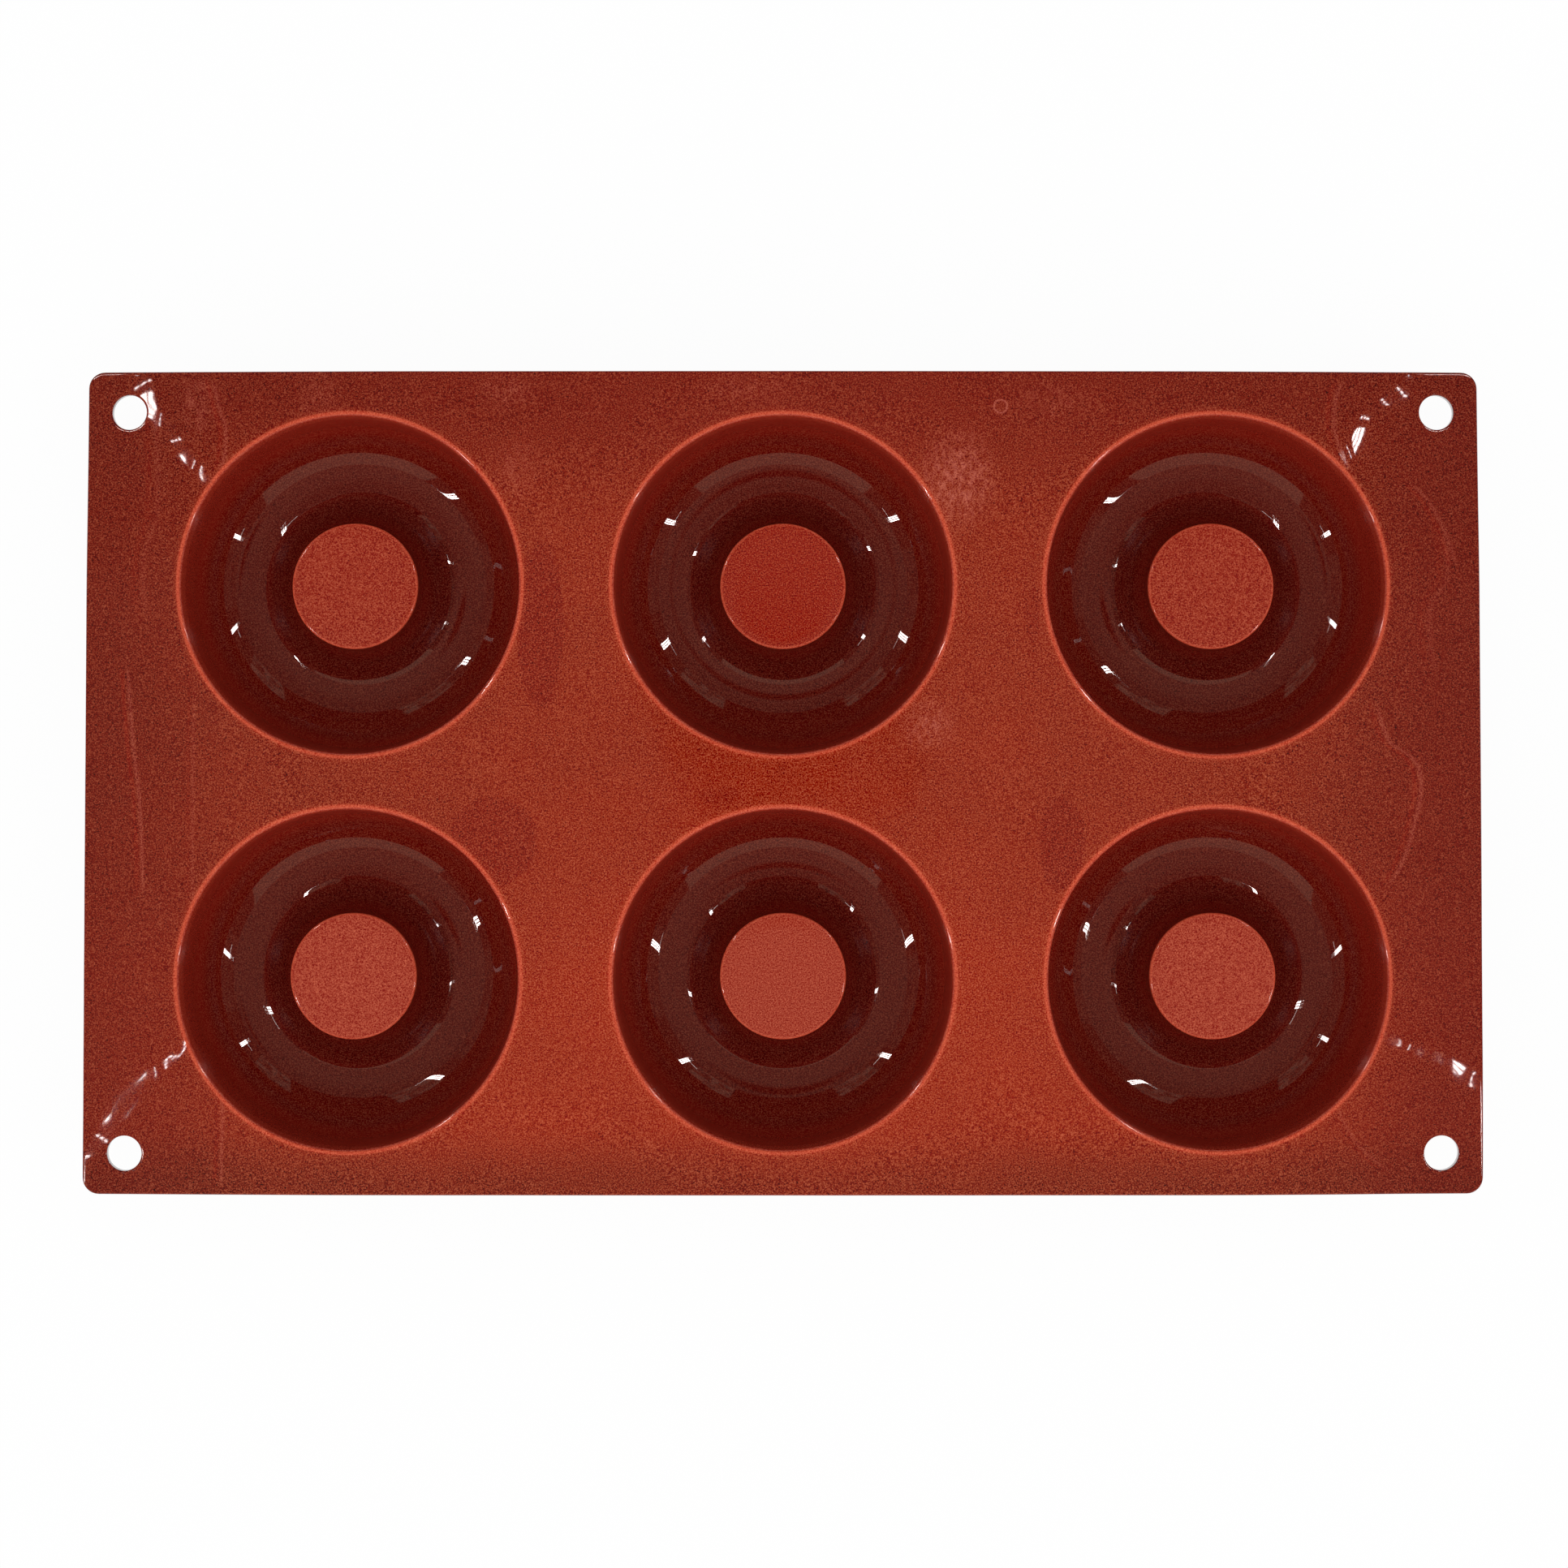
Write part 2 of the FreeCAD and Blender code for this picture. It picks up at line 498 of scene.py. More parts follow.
def milled_groove(sizes, section):
    """Groove from the plug's side to the outer wall's, with the floor's own leans."""
    plug_end, _, wall_end = section.groove(2)
    floor = floor_line(sizes)
    level = [(distance, height) for distance, height, _ in floor]
    plug_lean = sizes.plug_draft - math.pi / 2
    inner = bend(plug_end, plug_lean, level[0], floor[0][2], BEND_STEPS)
    outer = bend(level[-1], floor[-1][2], wall_end, math.pi / 2 - sizes.cavity_draft, BEND_STEPS)
    return [plug_end] + inner + level + outer + [wall_end]


def cavity_section(sizes):
    """Section of the surface that the cake touches, from the sheet to the axis.

    Each point has its share of polish: full in the cavity, none on the sheet
    and on the plug's flat.
    """
    section = CupSection(sizes, 0)
    rim = section.wall_corner(sizes.sheet_top, sizes.rim_radius, RIM_STEPS)[::-1]
    groove = milled_groove(sizes, section)[::-1]
    corner = section.plug_corner(CORNER_STEPS)[::-1]
    axis = (0, section.plug_top)
    polished = evenly(rim[-1], groove[0], WALL_STEPS) + groove
    points = [(rim[0][0] + LEVEL_STRIP, rim[0][1], 0)]
    points += [(*point, step / RIM_STEPS) for step, point in enumerate(rim)]
    points += [(*point, 1) for point in polished]
    points += [(*point, 1 - step / CORNER_STEPS) for step, point in enumerate(corner)]
    points += [(*point, 0) for point in evenly(corner[-1], axis, FLAT_STEPS) + [axis]]
    return points


def underside_section(sizes):
    """Section of a cup's underside, from the axis to the sheet's underside, without polish."""
    section = CupSection(sizes, sizes.cup_wall)
    ceiling = section.plug_top - sizes.plug_top_thickness
    groove = section.groove(UNDER_GROOVE_STEPS)
    face = sizes.sheet_top - sizes.sheet_thickness
    corner = section.wall_corner(face, sizes.under_rim_radius, UNDER_CORNER_STEPS)
    axis = (0, ceiling)
    ceiling_edge = section.plug_point(ceiling)
    points = [axis, *evenly(axis, ceiling_edge, FLAT_STEPS), ceiling_edge]
    points += groove + evenly(groove[-1], corner[0], WALL_STEPS) + corner
    return [(*point, 0) for point in points]


def cup_inputs(sizes, material):
    """Named inputs of the cups' tree: the kind of each and its value."""
    return {
        "Segments": ("NodeSocketInt", sizes.segments),
        "Cups along": ("NodeSocketInt", sizes.cups_along),
        "Cups across": ("NodeSocketInt", sizes.cups_across),
        "Pitch along": ("NodeSocketFloat", sizes.pitch_along),
        "Pitch across": ("NodeSocketFloat", sizes.pitch_across),
        "Material": ("NodeSocketMaterial", material),
    }


def ring_cup_tree(inputs):
    """Tree that turns a half section about its axis and repeats the cup in rows.

    It comes with the identifier of each named input.
    """
    group = bpy.data.node_groups.new("Ring cups from a half section", "GeometryNodeTree")
    group.interface.new_socket("Section", in_out="INPUT", socket_type="NodeSocketGeometry")
    group.interface.new_socket("Cups", in_out="OUTPUT", socket_type="NodeSocketGeometry")
    identifiers = {}
    for name, (kind, value) in inputs.items():
        socket = group.interface.new_socket(name, in_out="INPUT", socket_type=kind)
        socket.default_value = value
        identifiers[name] = socket.identifier
    build = Nodes(group)
    given = build.node("NodeGroupInput")
    section = given.output("Section")
    segments = given.output("Segments")
    along = given.output("Cups along")
    across = given.output("Cups across")
    count = build.node("GeometryNodeAttributeDomainSize", None, section).output("Point Count")
    lattice = build.node("GeometryNodeMeshGrid", Vertices_X=segments + 1, Vertices_Y=count)
    index = build.node("GeometryNodeInputIndex")
    column = build.maths("FLOOR", index / count)
    row = build.maths("MODULO", index, count)

    def of_section(kind, value):
        """Value at the section's point that each point of the lattice stands for."""
        return build.node(
            "GeometryNodeSampleIndex", {"data_type": kind}, Geometry=section, Value=value, Index=row
        )

    polish = build.node("GeometryNodeInputNamedAttribute", {"data_type": "FLOAT"}, Name=POLISH)
    place = of_section("FLOAT_VECTOR", build.node("GeometryNodeInputPosition"))
    distance, _, height = build.split(place)
    turn = column * math.tau / segments
    x = distance * build.maths("COSINE", turn)
    y = distance * build.maths("SINE", turn)
    turned = build.node("ShaderNodeCombineXYZ", None, x, y, height)
    placed = build.node("GeometryNodeSetPosition", Geometry=lattice, Position=turned)
    stored = build.node(
        "GeometryNodeStoreNamedAttribute",
        {"data_type": "FLOAT", "domain": "POINT"},
        Geometry=placed,
        Name=POLISH,
        Value=of_section("FLOAT", polish),
    )
    cup = build.node("GeometryNodeMergeByDistance", Geometry=stored, Distance=WELD_DISTANCE)
    centres = build.node(
        "GeometryNodeMeshGrid",
        Size_X=(along - 1) * given.output("Pitch along"),
        Size_Y=(across - 1) * given.output("Pitch across"),
        Vertices_X=along,
        Vertices_Y=across,
    )
    copies = build.node("GeometryNodeInstanceOnPoints", Points=centres, Instance=cup)
    real = build.node("GeometryNodeRealizeInstances", Geometry=copies)
    coloured = build.node("GeometryNodeSetMaterial", Geometry=real, Material=given.output("Material"))
    build.node("NodeGroupOutput", Cups=coloured)
    return group, identifiers


def mesh_with_polish(name, points, edges, faces, polish):
    """Mesh that holds a share of polish at each point."""
    mesh = bpy.data.meshes.new(name)
    mesh.from_pydata(points, edges, faces)
    mesh.attributes.new(POLISH, "FLOAT", "POINT").data.foreach_set("value", polish)
    return mesh


def repeated_cups(name, section, sizes, material):
    """Mesh of all the cups of one half section, made by the Geometry Nodes tree."""
    points = [(distance, 0, height) for distance, height, _ in section]
    edges = [(start, start + 1) for start in range(len(section) - 1)]
    polish = [polish for _, _, polish in section]
    holder = add_object(name, mesh_with_polish(name + "_section", points, edges, [], polish))
    inputs = cup_inputs(sizes, material)
    modifier = holder.modifiers.new("Ring cups", "NODES")
    modifier.node_group, identifiers = ring_cup_tree(inputs)
    for key, (_, value) in inputs.items():
        modifier[identifiers[key]] = value
    graph = bpy.context.evaluated_depsgraph_get()
    result = bpy.data.meshes.new_from_object(holder.evaluated_get(graph), depsgraph=graph)
    result.name = name
    holder.modifiers.remove(modifier)
    bpy.data.objects.remove(holder)
    return result


def cup_centres(sizes):
    centres = []
    for column in range(sizes.cups_along):
        for row in range(sizes.cups_across):
            x = (column - (sizes.cups_along - 1) / 2) * sizes.pitch_along
            y = (row - (sizes.cups_across - 1) / 2) * sizes.pitch_across
            centres.append((x, y))
    return centres


def hole_centres(sizes):
    x = sizes.sheet_length / 2 - sizes.hole_inset_along
    y = sizes.sheet_width / 2 - sizes.hole_inset_across
    return [(side_x * x, side_y * y) for side_x in (-1, 1) for side_y in (-1, 1)]


def ring(centre, radius, count):
    """Points of a circle in plan, anticlockwise."""
    return [around(centre, radius, math.tau * step / count) for step in range(count)]


OUTLINE_CORNER_STEPS = 8


def outline(sizes, inset):
    """Points of the sheet's rounded outline, anticlockwise, drawn in by an inset.

    Every inset gives as many points, so that two outlines can be joined.
    """
    half_x = sizes.sheet_length / 2 - sizes.sheet_corner_radius
    half_y = sizes.sheet_width / 2 - sizes.sheet_corner_radius
    radius = sizes.sheet_corner_radius - inset
    points = []
    corners = [(half_x, half_y), (-half_x, half_y), (-half_x, -half_y), (half_x, -half_y)]
    for number, corner in enumerate(corners):
        for part in range(OUTLINE_CORNER_STEPS + 1):
            points.append(around(corner, radius, math.pi / 2 * (number + part / OUTLINE_CORNER_STEPS)))
        side = 2 * half_x if number % 2 == 0 else 2 * half_y
        pieces = round(side / sizes.face_step)
        along = Vector(around((0, 0), 1, math.pi / 2 * (number + 2)))
        start = Vector(points[-1])
        points += [tuple(start + along * (side * part / pieces)) for part in range(1, pieces)]
    return points


class MeshParts:
    """Points, faces and polish of a mesh that grows piece by piece."""

    def __init__(self):
        self.points = []
        self.faces = []
        self.polish = []

    def add(self, points, faces, polish=None):
        start = len(self.points)
        self.points.extend(points)
        self.faces.extend([tuple(start + corner for corner in face) for face in faces])
        self.polish.extend(polish if polish is not None else [0.0] * len(points))

    def add_mesh(self, mesh):
        polish = np.zeros(len(mesh.vertices), np.float32)
        mesh.attributes[POLISH].data.foreach_get("value", polish)
        faces = [tuple(face.vertices) for face in mesh.polygons]
        self.add([tuple(vertex.co) for vertex in mesh.vertices], faces, list(polish))

    def add_band(self, levels):
        """Joins rings of as many points, each a list of plan points and a height.

        Seen from outside, the rings run anticlockwise and the first is the upper one.
        """
        count = len(levels[0][0])
        points = [(*point, height) for ring_points, height in levels for point in ring_points]
        faces = []
        for level in range(len(levels) - 1):
            for step in range(count):
                following = (step + 1) % count
                upper, lower = level * count, (level + 1) * count
                faces.append((upper + step, lower + step, lower + following, upper + following))
        self.add(points, faces)


def inside_outline(sizes, points, inset):
    """Which plan points lie inside the sheet's outline, drawn in by an inset."""
    radius = sizes.sheet_corner_radius
    half = np.array((sizes.sheet_length / 2 - radius, sizes.sheet_width / 2 - radius))
    beyond = np.maximum(np.abs(points) - half, 0)
    return np.hypot(beyond[:, 0], beyond[:, 1]) < radius - inset


def outside_circles(points, circles, margin):
    """Which plan points lie outside all circles, by a margin."""
    clear = np.ones(len(points), bool)
    for (x, y), radius, _ in circles:
        clear &= np.hypot(points[:, 0] - x, points[:, 1] - y) > radius + margin
    return clear


def lattice_points(sizes, step):
    """Points in staggered rows that cover the sheet."""
    row_step = step * math.sqrt(3) / 2
    rows = int(sizes.sheet_width / row_step) + 1
    columns = int(sizes.sheet_length / step) + 1
    points = []
    for row in range(rows):
        stagger = (row % 2) * step / 2
        for column in range(columns):
            points.append(((column - columns / 2) * step + stagger, (row - rows / 2) * row_step))
    return np.array(points)


LATTICE_CLEARANCE = 0.55
CIRCLE_TOLERANCE = 1e-3
FILL_TOLERANCE = 1e-9
FILL_INSIDE = 1


def flat_face(parts, sizes, border, circles, height, step, upwards):
    """Level face between the sheet's outline and its circles, filled with even triangles.

    border is the outline's ring of points, and circles holds a centre, a radius
    and a ring of points for each round opening.
    """
    free = lattice_points(sizes, step)
    clearance = step * LATTICE_CLEARANCE
    keep = inside_outline(sizes, free, sizes.edge_round + clearance)
    keep &= outside_circles(free, circles, clearance)
    plan = []
    edges = []
    for loop in [border] + [points for _, _, points in circles]:
        start = len(plan)
        plan.extend(loop)
        edges.extend((start + i, start + (i + 1) % len(loop)) for i in range(len(loop)))
    plan.extend(tuple(point) for point in free[keep])
    filled = delaunay_2d_cdt([Vector(point) for point in plan], edges, [], FILL_INSIDE, FILL_TOLERANCE)
    points = np.array([tuple(point) for point in filled[0]])
    faces = []
    for face in filled[2]:
        middle = points[list(face)].mean(axis=0, keepdims=True)
        if outside_circles(middle, circles, -step * CIRCLE_TOLERANCE)[0]:
            faces.append(tuple(face) if upwards else tuple(reversed(face)))
    parts.add([(x, y, height) for x, y in points], faces)


HOLE_SEGMENTS = 40
ROUND_STEPS = 4
UNDERSIDE_STEP = 2.0


def rounded_levels(shape, radius, top, bottom):
    """Rings down a wall whose upper edge is rounded.

    shape gives the ring for a distance from the wall, into the material.
    """
    levels = [(shape(radius + LEVEL_STRIP), top)]
    for step in range(ROUND_STEPS + 1):
        angle = math.pi / 2 * step / ROUND_STEPS
        levels.append((shape(radius * (1 - math.sin(angle))), top - radius * (1 - math.cos(angle))))
    levels.append((shape(0), bottom))
    return levels


def sheet_parts(parts, sizes, cavity_radius, underside_radius):
    """The flat sheet: top, underside, outer edge and the walls of the corner holes."""
    top = sizes.sheet_top
    bottom = top - sizes.sheet_thickness
    bore = sizes.hole_diameter / 2
    flare = bore + sizes.hole_round + LEVEL_STRIP
    step = sizes.face_step

    def edge_ring(inset):
        return outline(sizes, inset)

    def openings(centres, radius, count):
        return [(centre, radius, ring(centre, radius, count)) for centre in centres]

    for centre in hole_centres(sizes):

        def bore_ring(inset, centre=centre):
            return ring(centre, bore + inset, HOLE_SEGMENTS)[::-1]

        parts.add_band(rounded_levels(bore_ring, sizes.hole_round, top, bottom))
    upper = openings(cup_centres(sizes), cavity_radius, sizes.segments)
    upper += openings(hole_centres(sizes), flare, HOLE_SEGMENTS)
    lower = openings(cup_centres(sizes), underside_radius, sizes.segments)
    lower += openings(hole_centres(sizes), bore, HOLE_SEGMENTS)
    flat_face(parts, sizes, edge_ring(sizes.edge_round + LEVEL_STRIP), upper, top, step, True)
    flat_face(parts, sizes, edge_ring(0), lower, bottom, step * UNDERSIDE_STEP, False)
    parts.add_band(rounded_levels(edge_ring, sizes.edge_round, top, bottom))


LEAST_DISTANCE = 1e-12


class Relief:
    """Smooth height over the sheet that is level at some places and leans at others.

    It is the shape of a thin plate held there, found by solving for the
    strength of a bump centred on each place.
    """

    def __init__(self, level_places, lean_places, leans):
        self.held = np.array(level_places)
        self.leaning = np.array(lean_places)
        leans = np.array(leans)
        matrix = np.vstack([self.values(self.held), *self.slopes(self.leaning)])
        known = np.concatenate([np.zeros(len(self.held)), leans[:, 0], leans[:, 1]])
        plane = matrix[:, -3:]
        square = np.zeros((matrix.shape[1], matrix.shape[1]))
        square[: len(matrix)] = matrix
        square[len(matrix):, : len(matrix)] = plane.T
        self.strengths = np.linalg.solve(square, np.concatenate([known, np.zeros(3)]))

    def offsets(self, places):
        """Steps and distances from each held place, and from each leaning one."""
        away = places[:, None] - self.held[None]
        tilt = places[:, None] - self.leaning[None]
        return away, np.hypot(away[..., 0], away[..., 1]), tilt, np.hypot(tilt[..., 0], tilt[..., 1])

    def values(self, places):
        """Height at places from each bump and from the level plane."""
        _, distance, tilt, far = self.offsets(places)
        ones = np.ones((len(places), 1))
        return np.hstack([distance ** 3, 3 * far * tilt[..., 0], 3 * far * tilt[..., 1], ones, places])

    def slopes(self, places):
        """Slope along x and along y at places, from each bump and from the plane."""
        away, distance, tilt, far = self.offsets(places)
        near = np.maximum(far, LEAST_DISTANCE)
        cross = 3 * tilt[..., 0] * tilt[..., 1] / near
        along_x = 3 * (far + tilt[..., 0] ** 2 / near)
        along_y = 3 * (far + tilt[..., 1] ** 2 / near)
        zeros = np.zeros((len(places), 1))
        ones = np.ones((len(places), 1))
        slope_x = np.hstack([3 * distance * away[..., 0], along_x, cross, zeros, ones, zeros])
        slope_y = np.hstack([3 * distance * away[..., 1], cross, along_y, zeros, zeros, ones])
        return slope_x, slope_y

    def heights(self, places):
        return self.values(places) @ self.strengths


# Directions of the four lamp towers from the middle of the sheet, in degrees from +X
LAMP_TOWERS = {
    "back_right": 33,
    "back_left": 150,
    "front_left": -155,
    "front_right": -23,
}
TOWER_DISTANCE = 500 * MM

# Soft ridges that run out over the sinking corners, along which each tower is mirrored
# to the camera: places in millimetres, from near a cup's rim to the sheet's edge
RIDGES = {
    "back_right": [(121, 69), (124.5, 74), (128, 79), (131.5, 83), (135, 87)],
    "back_left": [(-124.5, 63.5), (-128, 68.5), (-131.5, 74.5), (-135.5, 81), (-140, 86.5)],
    "front_left": [(-129, -56.5), (-136, -62), (-141, -67), (-145.5, -73), (-148.5, -82)],
    "front_right": [(129.5, -55.5), (135, -57.5), (140, -58.5), (145, -60.5), (149, -64.5)],
}
# A ridge's line is carried past the sheet's edge, so that it runs on to the edge itself
RIDGE_OVERRUN = 8 * MM
# Parts of the tower that the places along a ridge mirror, and that the places beside it do
RIDGE_ZENITHS = (27.75, 32.0, 28.5, 31.5, 28.0, 29.5)
RIDGE_MEAN_ZENITH = 29.5
# How a ridge falls away beside its line: slope a metre, and where it levels out
RIDGE_BEND = 4.0
RIDGE_SIDE_FALL = 9 * MM
RIDGE_SIDES = (-24 * MM, -16 * MM, -8 * MM, 0.0, 8 * MM, 16 * MM, 24 * MM)

# Waves of the sheet's uneven face: length, direction in degrees, height and phase
WAVES = [
    (26 * MM, 20, 0.030 * MM, 0.3),
    (19 * MM, 75, 0.018 * MM, 1.9),
    (14 * MM, 130, 0.012 * MM, 4.1),
    (9 * MM, 165, 0.004 * MM, 2.6),
]
WAVE_RIM_FADE = 6 * MM

# Level places round each cup, and leaning places along the sheet's short and long edges
RIM_HOLDS = 12
RIM_HOLD_SHARE = 0.38
SIDE_LEAN = 0.06
SIDE_SHARES = (-0.45, 0.0, 0.45)
EDGE_LEAN = 0.02
EDGE_SHARES = (-0.5, 0.0, 0.5)
HOLD_CLEARANCE = 14 * MM
CUP_CLEARANCE = 2 * MM
CUP_STIFF_DEPTH = (4 * MM, 14 * MM)


def tower_point(name, zenith):
    """Point of a lamp tower that the middle of the sheet sees at an angle from straight up."""
    turn = math.radians(LAMP_TOWERS[name])
    height = TOWER_DISTANCE / math.tan(math.radians(zenith))
    return Vector((*around((0, 0), TOWER_DISTANCE, turn), height))


def mirror_lean(place, lamp, eye):
    """Slope of a face at a place on the sheet that mirrors a lamp to the eye."""
    to_lamp = Vector(lamp) - Vector((*place, 0))
    to_eye = Vector(eye) - Vector((*place, 0))
    normal = to_lamp.normalized() + to_eye.normalized()
    return Vector((-normal.x / normal.z, -normal.y / normal.z))


def clear_of_cups(place, sizes):
    """Whether a place on the sheet lies outside every cup's rim."""
    reach = sizes.cavity_diameter / 2 + CUP_CLEARANCE
    return all((place - Vector(centre)).length > reach for centre in cup_centres(sizes))


def sheet_relief(sizes, stage):
    """Lean of the sheet's corners and sides, held level round the cups."""
    eye = (*stage.camera_offset, stage.camera_height)
    level_places = []
    for centre in cup_centres(sizes):
        level_places += ring(centre, sizes.cavity_diameter * RIM_HOLD_SHARE, RIM_HOLDS)
    half_x, half_y = sizes.sheet_length / 2, sizes.sheet_width / 2
    leaning = []
    for direction in (-1, 1):
        side_lean, edge_lean = -direction * SIDE_LEAN, -direction * EDGE_LEAN
        leaning += [((direction * half_x, share * half_y), (side_lean, 0.0)) for share in SIDE_SHARES]
        leaning += [((share * half_x, direction * half_y), (0.0, edge_lean)) for share in EDGE_SHARES]
    holds = [Vector(place) for place, _ in leaning]
    for corner, millimetres in RIDGES.items():
        places = [Vector(place) * MM for place in millimetres]
        along = (places[-1] - places[0]).normalized()
        across = Vector((-along.y, along.x))
        places.append(places[-1] + along * RIDGE_OVERRUN)
        for place, zenith in zip(places, RIDGE_ZENITHS):
            for side in RIDGE_SIDES:
                aim = tower_point(corner, RIDGE_MEAN_ZENITH if side else zenith)
                fall = math.tanh(side / RIDGE_SIDE_FALL) * RIDGE_SIDE_FALL * RIDGE_BEND
                lean = mirror_lean(place, aim, eye) - across * fall
                beside = place + across * side
                free = all((beside - hold).length > HOLD_CLEARANCE for hold in holds)
                if free and clear_of_cups(beside, sizes):
                    leaning.append((tuple(beside), lean))
    return Relief(level_places, [place for place, _ in leaning], [tuple(lean) for _, lean in leaning])


def smooth_step(values, low, high):
    share = np.clip((values - low) / (high - low), 0, 1)
    return share * share * (3 - 2 * share)


def wave_heights(places):
    """Height of the sheet's unevenness at places."""
    heights = np.zeros(len(places))
    for length, degrees, height, phase in WAVES:
        angle = math.radians(degrees)
        along = places[:, 0] * math.cos(angle) + places[:, 1] * math.sin(angle)
        heights += height * np.sin(math.tau * along / length + phase)
    return heights


def soften(points, sizes, stage):
    """Moves the points of the true form by the sheet's lean and unevenness.

    The cups are stiff: the shift fades out down their walls, and nothing rises
    above the sheet's height.
    """
    plan = points[:, :2]
    away = np.full(len(points), np.inf)
    for x, y in cup_centres(sizes):
        away = np.minimum(away, np.hypot(plan[:, 0] - x, plan[:, 1] - y))
    mouth = sizes.cavity_diameter / 2
    free = smooth_step(away, mouth, mouth + WAVE_RIM_FADE)
    shift = sheet_relief(sizes, stage).heights(plan) + wave_heights(plan) * free
    on_sheet = points[:, 2] > sizes.sheet_top - 2 * sizes.sheet_thickness
    shift -= shift[on_sheet].max()
    depth = sizes.sheet_top - points[:, 2]
    shift *= 1 - smooth_step(depth, *CUP_STIFF_DEPTH)
    moved = points.copy()
    moved[:, 2] += shift
    return moved


def welded_mesh(name, parts, points):
    """One closed mesh from parts that share their rims."""
    mesh = mesh_with_polish(name, [tuple(point) for point in points], [], parts.faces, parts.polish)
    shape = bmesh.new()
    shape.from_mesh(mesh)
    bmesh.ops.remove_doubles(shape, verts=shape.verts, dist=WELD_DISTANCE)
    open_edges = [edge for edge in shape.edges if len(edge.link_faces) != 2]
    bmesh.ops.recalc_face_normals(shape, faces=shape.faces)
    volume = shape.calc_volume(signed=True)
    shape.to_mesh(mesh)
    shape.free()
    if open_edges or volume <= 0:
        raise RuntimeError(f"{name} has {len(open_edges)} open edges and a volume of {volume}")
    mesh.polygons.foreach_set("use_smooth", [True] * len(mesh.polygons))
    return mesh


class MakeMouldBody(bpy.types.Operator):
    """Make the sheet and its six ring cups as one closed piece"""

    bl_idname = "baba_mould.body"
    bl_label = "Moulded sheet and cups"

    def execute(self, context):
        sizes = context.scene.baba_sizes
        material = bpy.data.materials.get(MATERIAL)
        if material is None:
            raise RuntimeError("make the silicone finish before the mould's body")
        inner = cavity_section(sizes)
        outer = underside_section(sizes)
        parts = MeshParts()
        parts.add_mesh(repeated_cups("cup_cavities", inner, sizes, material))
        parts.add_mesh(repeated_cups("cup_undersides", outer, sizes, material))
        sheet_parts(parts, sizes, inner[0][0], outer[-1][0])
        points = soften(np.array(parts.points), sizes, context.scene.baba_stage)
        mesh = welded_mesh("moulded_body", parts, np.clip(points, *np.array(CAD_BOX)))
        mesh.materials.clear()
        mesh.materials.append(material)
        body = add_object("moulded_body", mesh)
        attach(body, BODY)
        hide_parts(NODE)
        return {"FINISHED"}


# Marks on the sheet's face, in millimetres from its middle
DARK_PATCHES = [
    # centre, half sizes, strength
    ((-52.0, 33.6), (4.9, 18.0), 1.0),
    ((-62.0, -12.8), (9.4, 9.4), 0.85),
    ((59.6, -13.4), (5.0, 10.2), 0.9),
    ((53.6, 35.8), (2.0, 6.0), 0.45),
    ((-13.5, -3.0), (4.5, 1.8), 0.5),
]
HAZE_PATCHES = [
    ((37.6, 65.0), (7.5, 10.0), 1.0),
    ((31.0, 12.0), (6.0, 5.0), 0.7),
    ((-126.0, 81.0), (4.0, 7.0), 0.35),
    ((-57.0, 67.0), (5.0, 7.0), 0.3),
    ((-60.0, 84.0), (6.0, 4.0), 0.3),
    ((58.0, 82.0), (9.0, 4.0), 0.25),
    ((-8.0, 84.5), (10.0, 3.5), 0.25),
    ((-100.0, 82.0), (5.0, 7.0), 0.25),
]
FLOW_LINES = [
    # points from back to front, half width, strength
    ([(-142.3, 27.0), (-140.8, 8.0), (-139.2, -6.0), (-138.4, -26.0)], 0.8, 0.9),
    ([(-127.2, 23.0), (-127.6, 0.0), (-127.4, -30.0), (-126.6, -58.0)], 0.7, 0.5),
    ([(125.6, 18.0), (128.4, 9.0), (135.4, 1.0), (134.0, -9.0), (126.8, -24.0)], 0.9, 0.9),
    ([(-124.4, 87.0), (-122.6, 80.0), (-121.2, 74.0), (-124.6, 65.6)], 0.8, 0.8),
    ([(121.0, 87.0), (117.2, 78.0), (118.6, 71.0), (122.0, 66.0)], 0.9, 0.7),
    ([(117.0, -69.0), (119.6, -75.0), (124.0, -80.0), (129.5, -84.0)], 0.9, 0.6),
    ([(-122.0, -62.0), (-121.0, -70.0), (-121.2, -78.0), (-121.4, -87.0)], 0.8, 0.8),
    ([(-140.0, 86.0), (-136.5, 60.0), (-139.5, 45.0), (-136.0, 33.0)], 1.2, 0.35),
    ([(138.0, 58.0), (141.0, 45.0), (137.0, 36.0), (139.0, 22.0)], 1.2, 0.35),
    ([(131.0, 65.0), (135.0, 63.0), (140.0, 56.0), (143.5, 46.0)], 0.9, 0.6),
]
FLOW_LINE_END = 0.12
FLOW_LINE_PALE = 0.35
FLOW_LINE_SIDE = 1.6
RING_MARK = ((46.8, 80.6), 1.4)
RING_LINE = (0.35, 0.05)
RING_DEPTH = 0.7
GATE_MARK = (-0.1, 2.6)
GATE_EDGE = (1.8, 0.3)
GATE_DEPTH = 0.6
MARK_WANDER = 3.0
PATCH_EDGE = (1.08, 0.92)
HAZE_EDGE = (1.4, 0.3)
PATCH_COLOUR = (0.235, 0.0095, 0.0015)
PATCH_DEPTH = 0.85
HAZE_DEPTH = 0.8

# Noises of the finish: lumps a metre, detail and roughness
CLOUD = (0.045 / MM, 3.0)
WISP = (0.35 / MM, 5.0, 0.65)
SWIRL = (0.9 / MM, 6.0, 0.7)
SWIRL_STRETCH = (1, 0.5, 1)
SWIRL_RANGE = (0.36, 0.68)
PEEL = (0.4 / MM, 2.0)
GRAIN = (3.1 / MM, 0.0)
FINE_GRAIN = (5.2 / MM, 0.0)

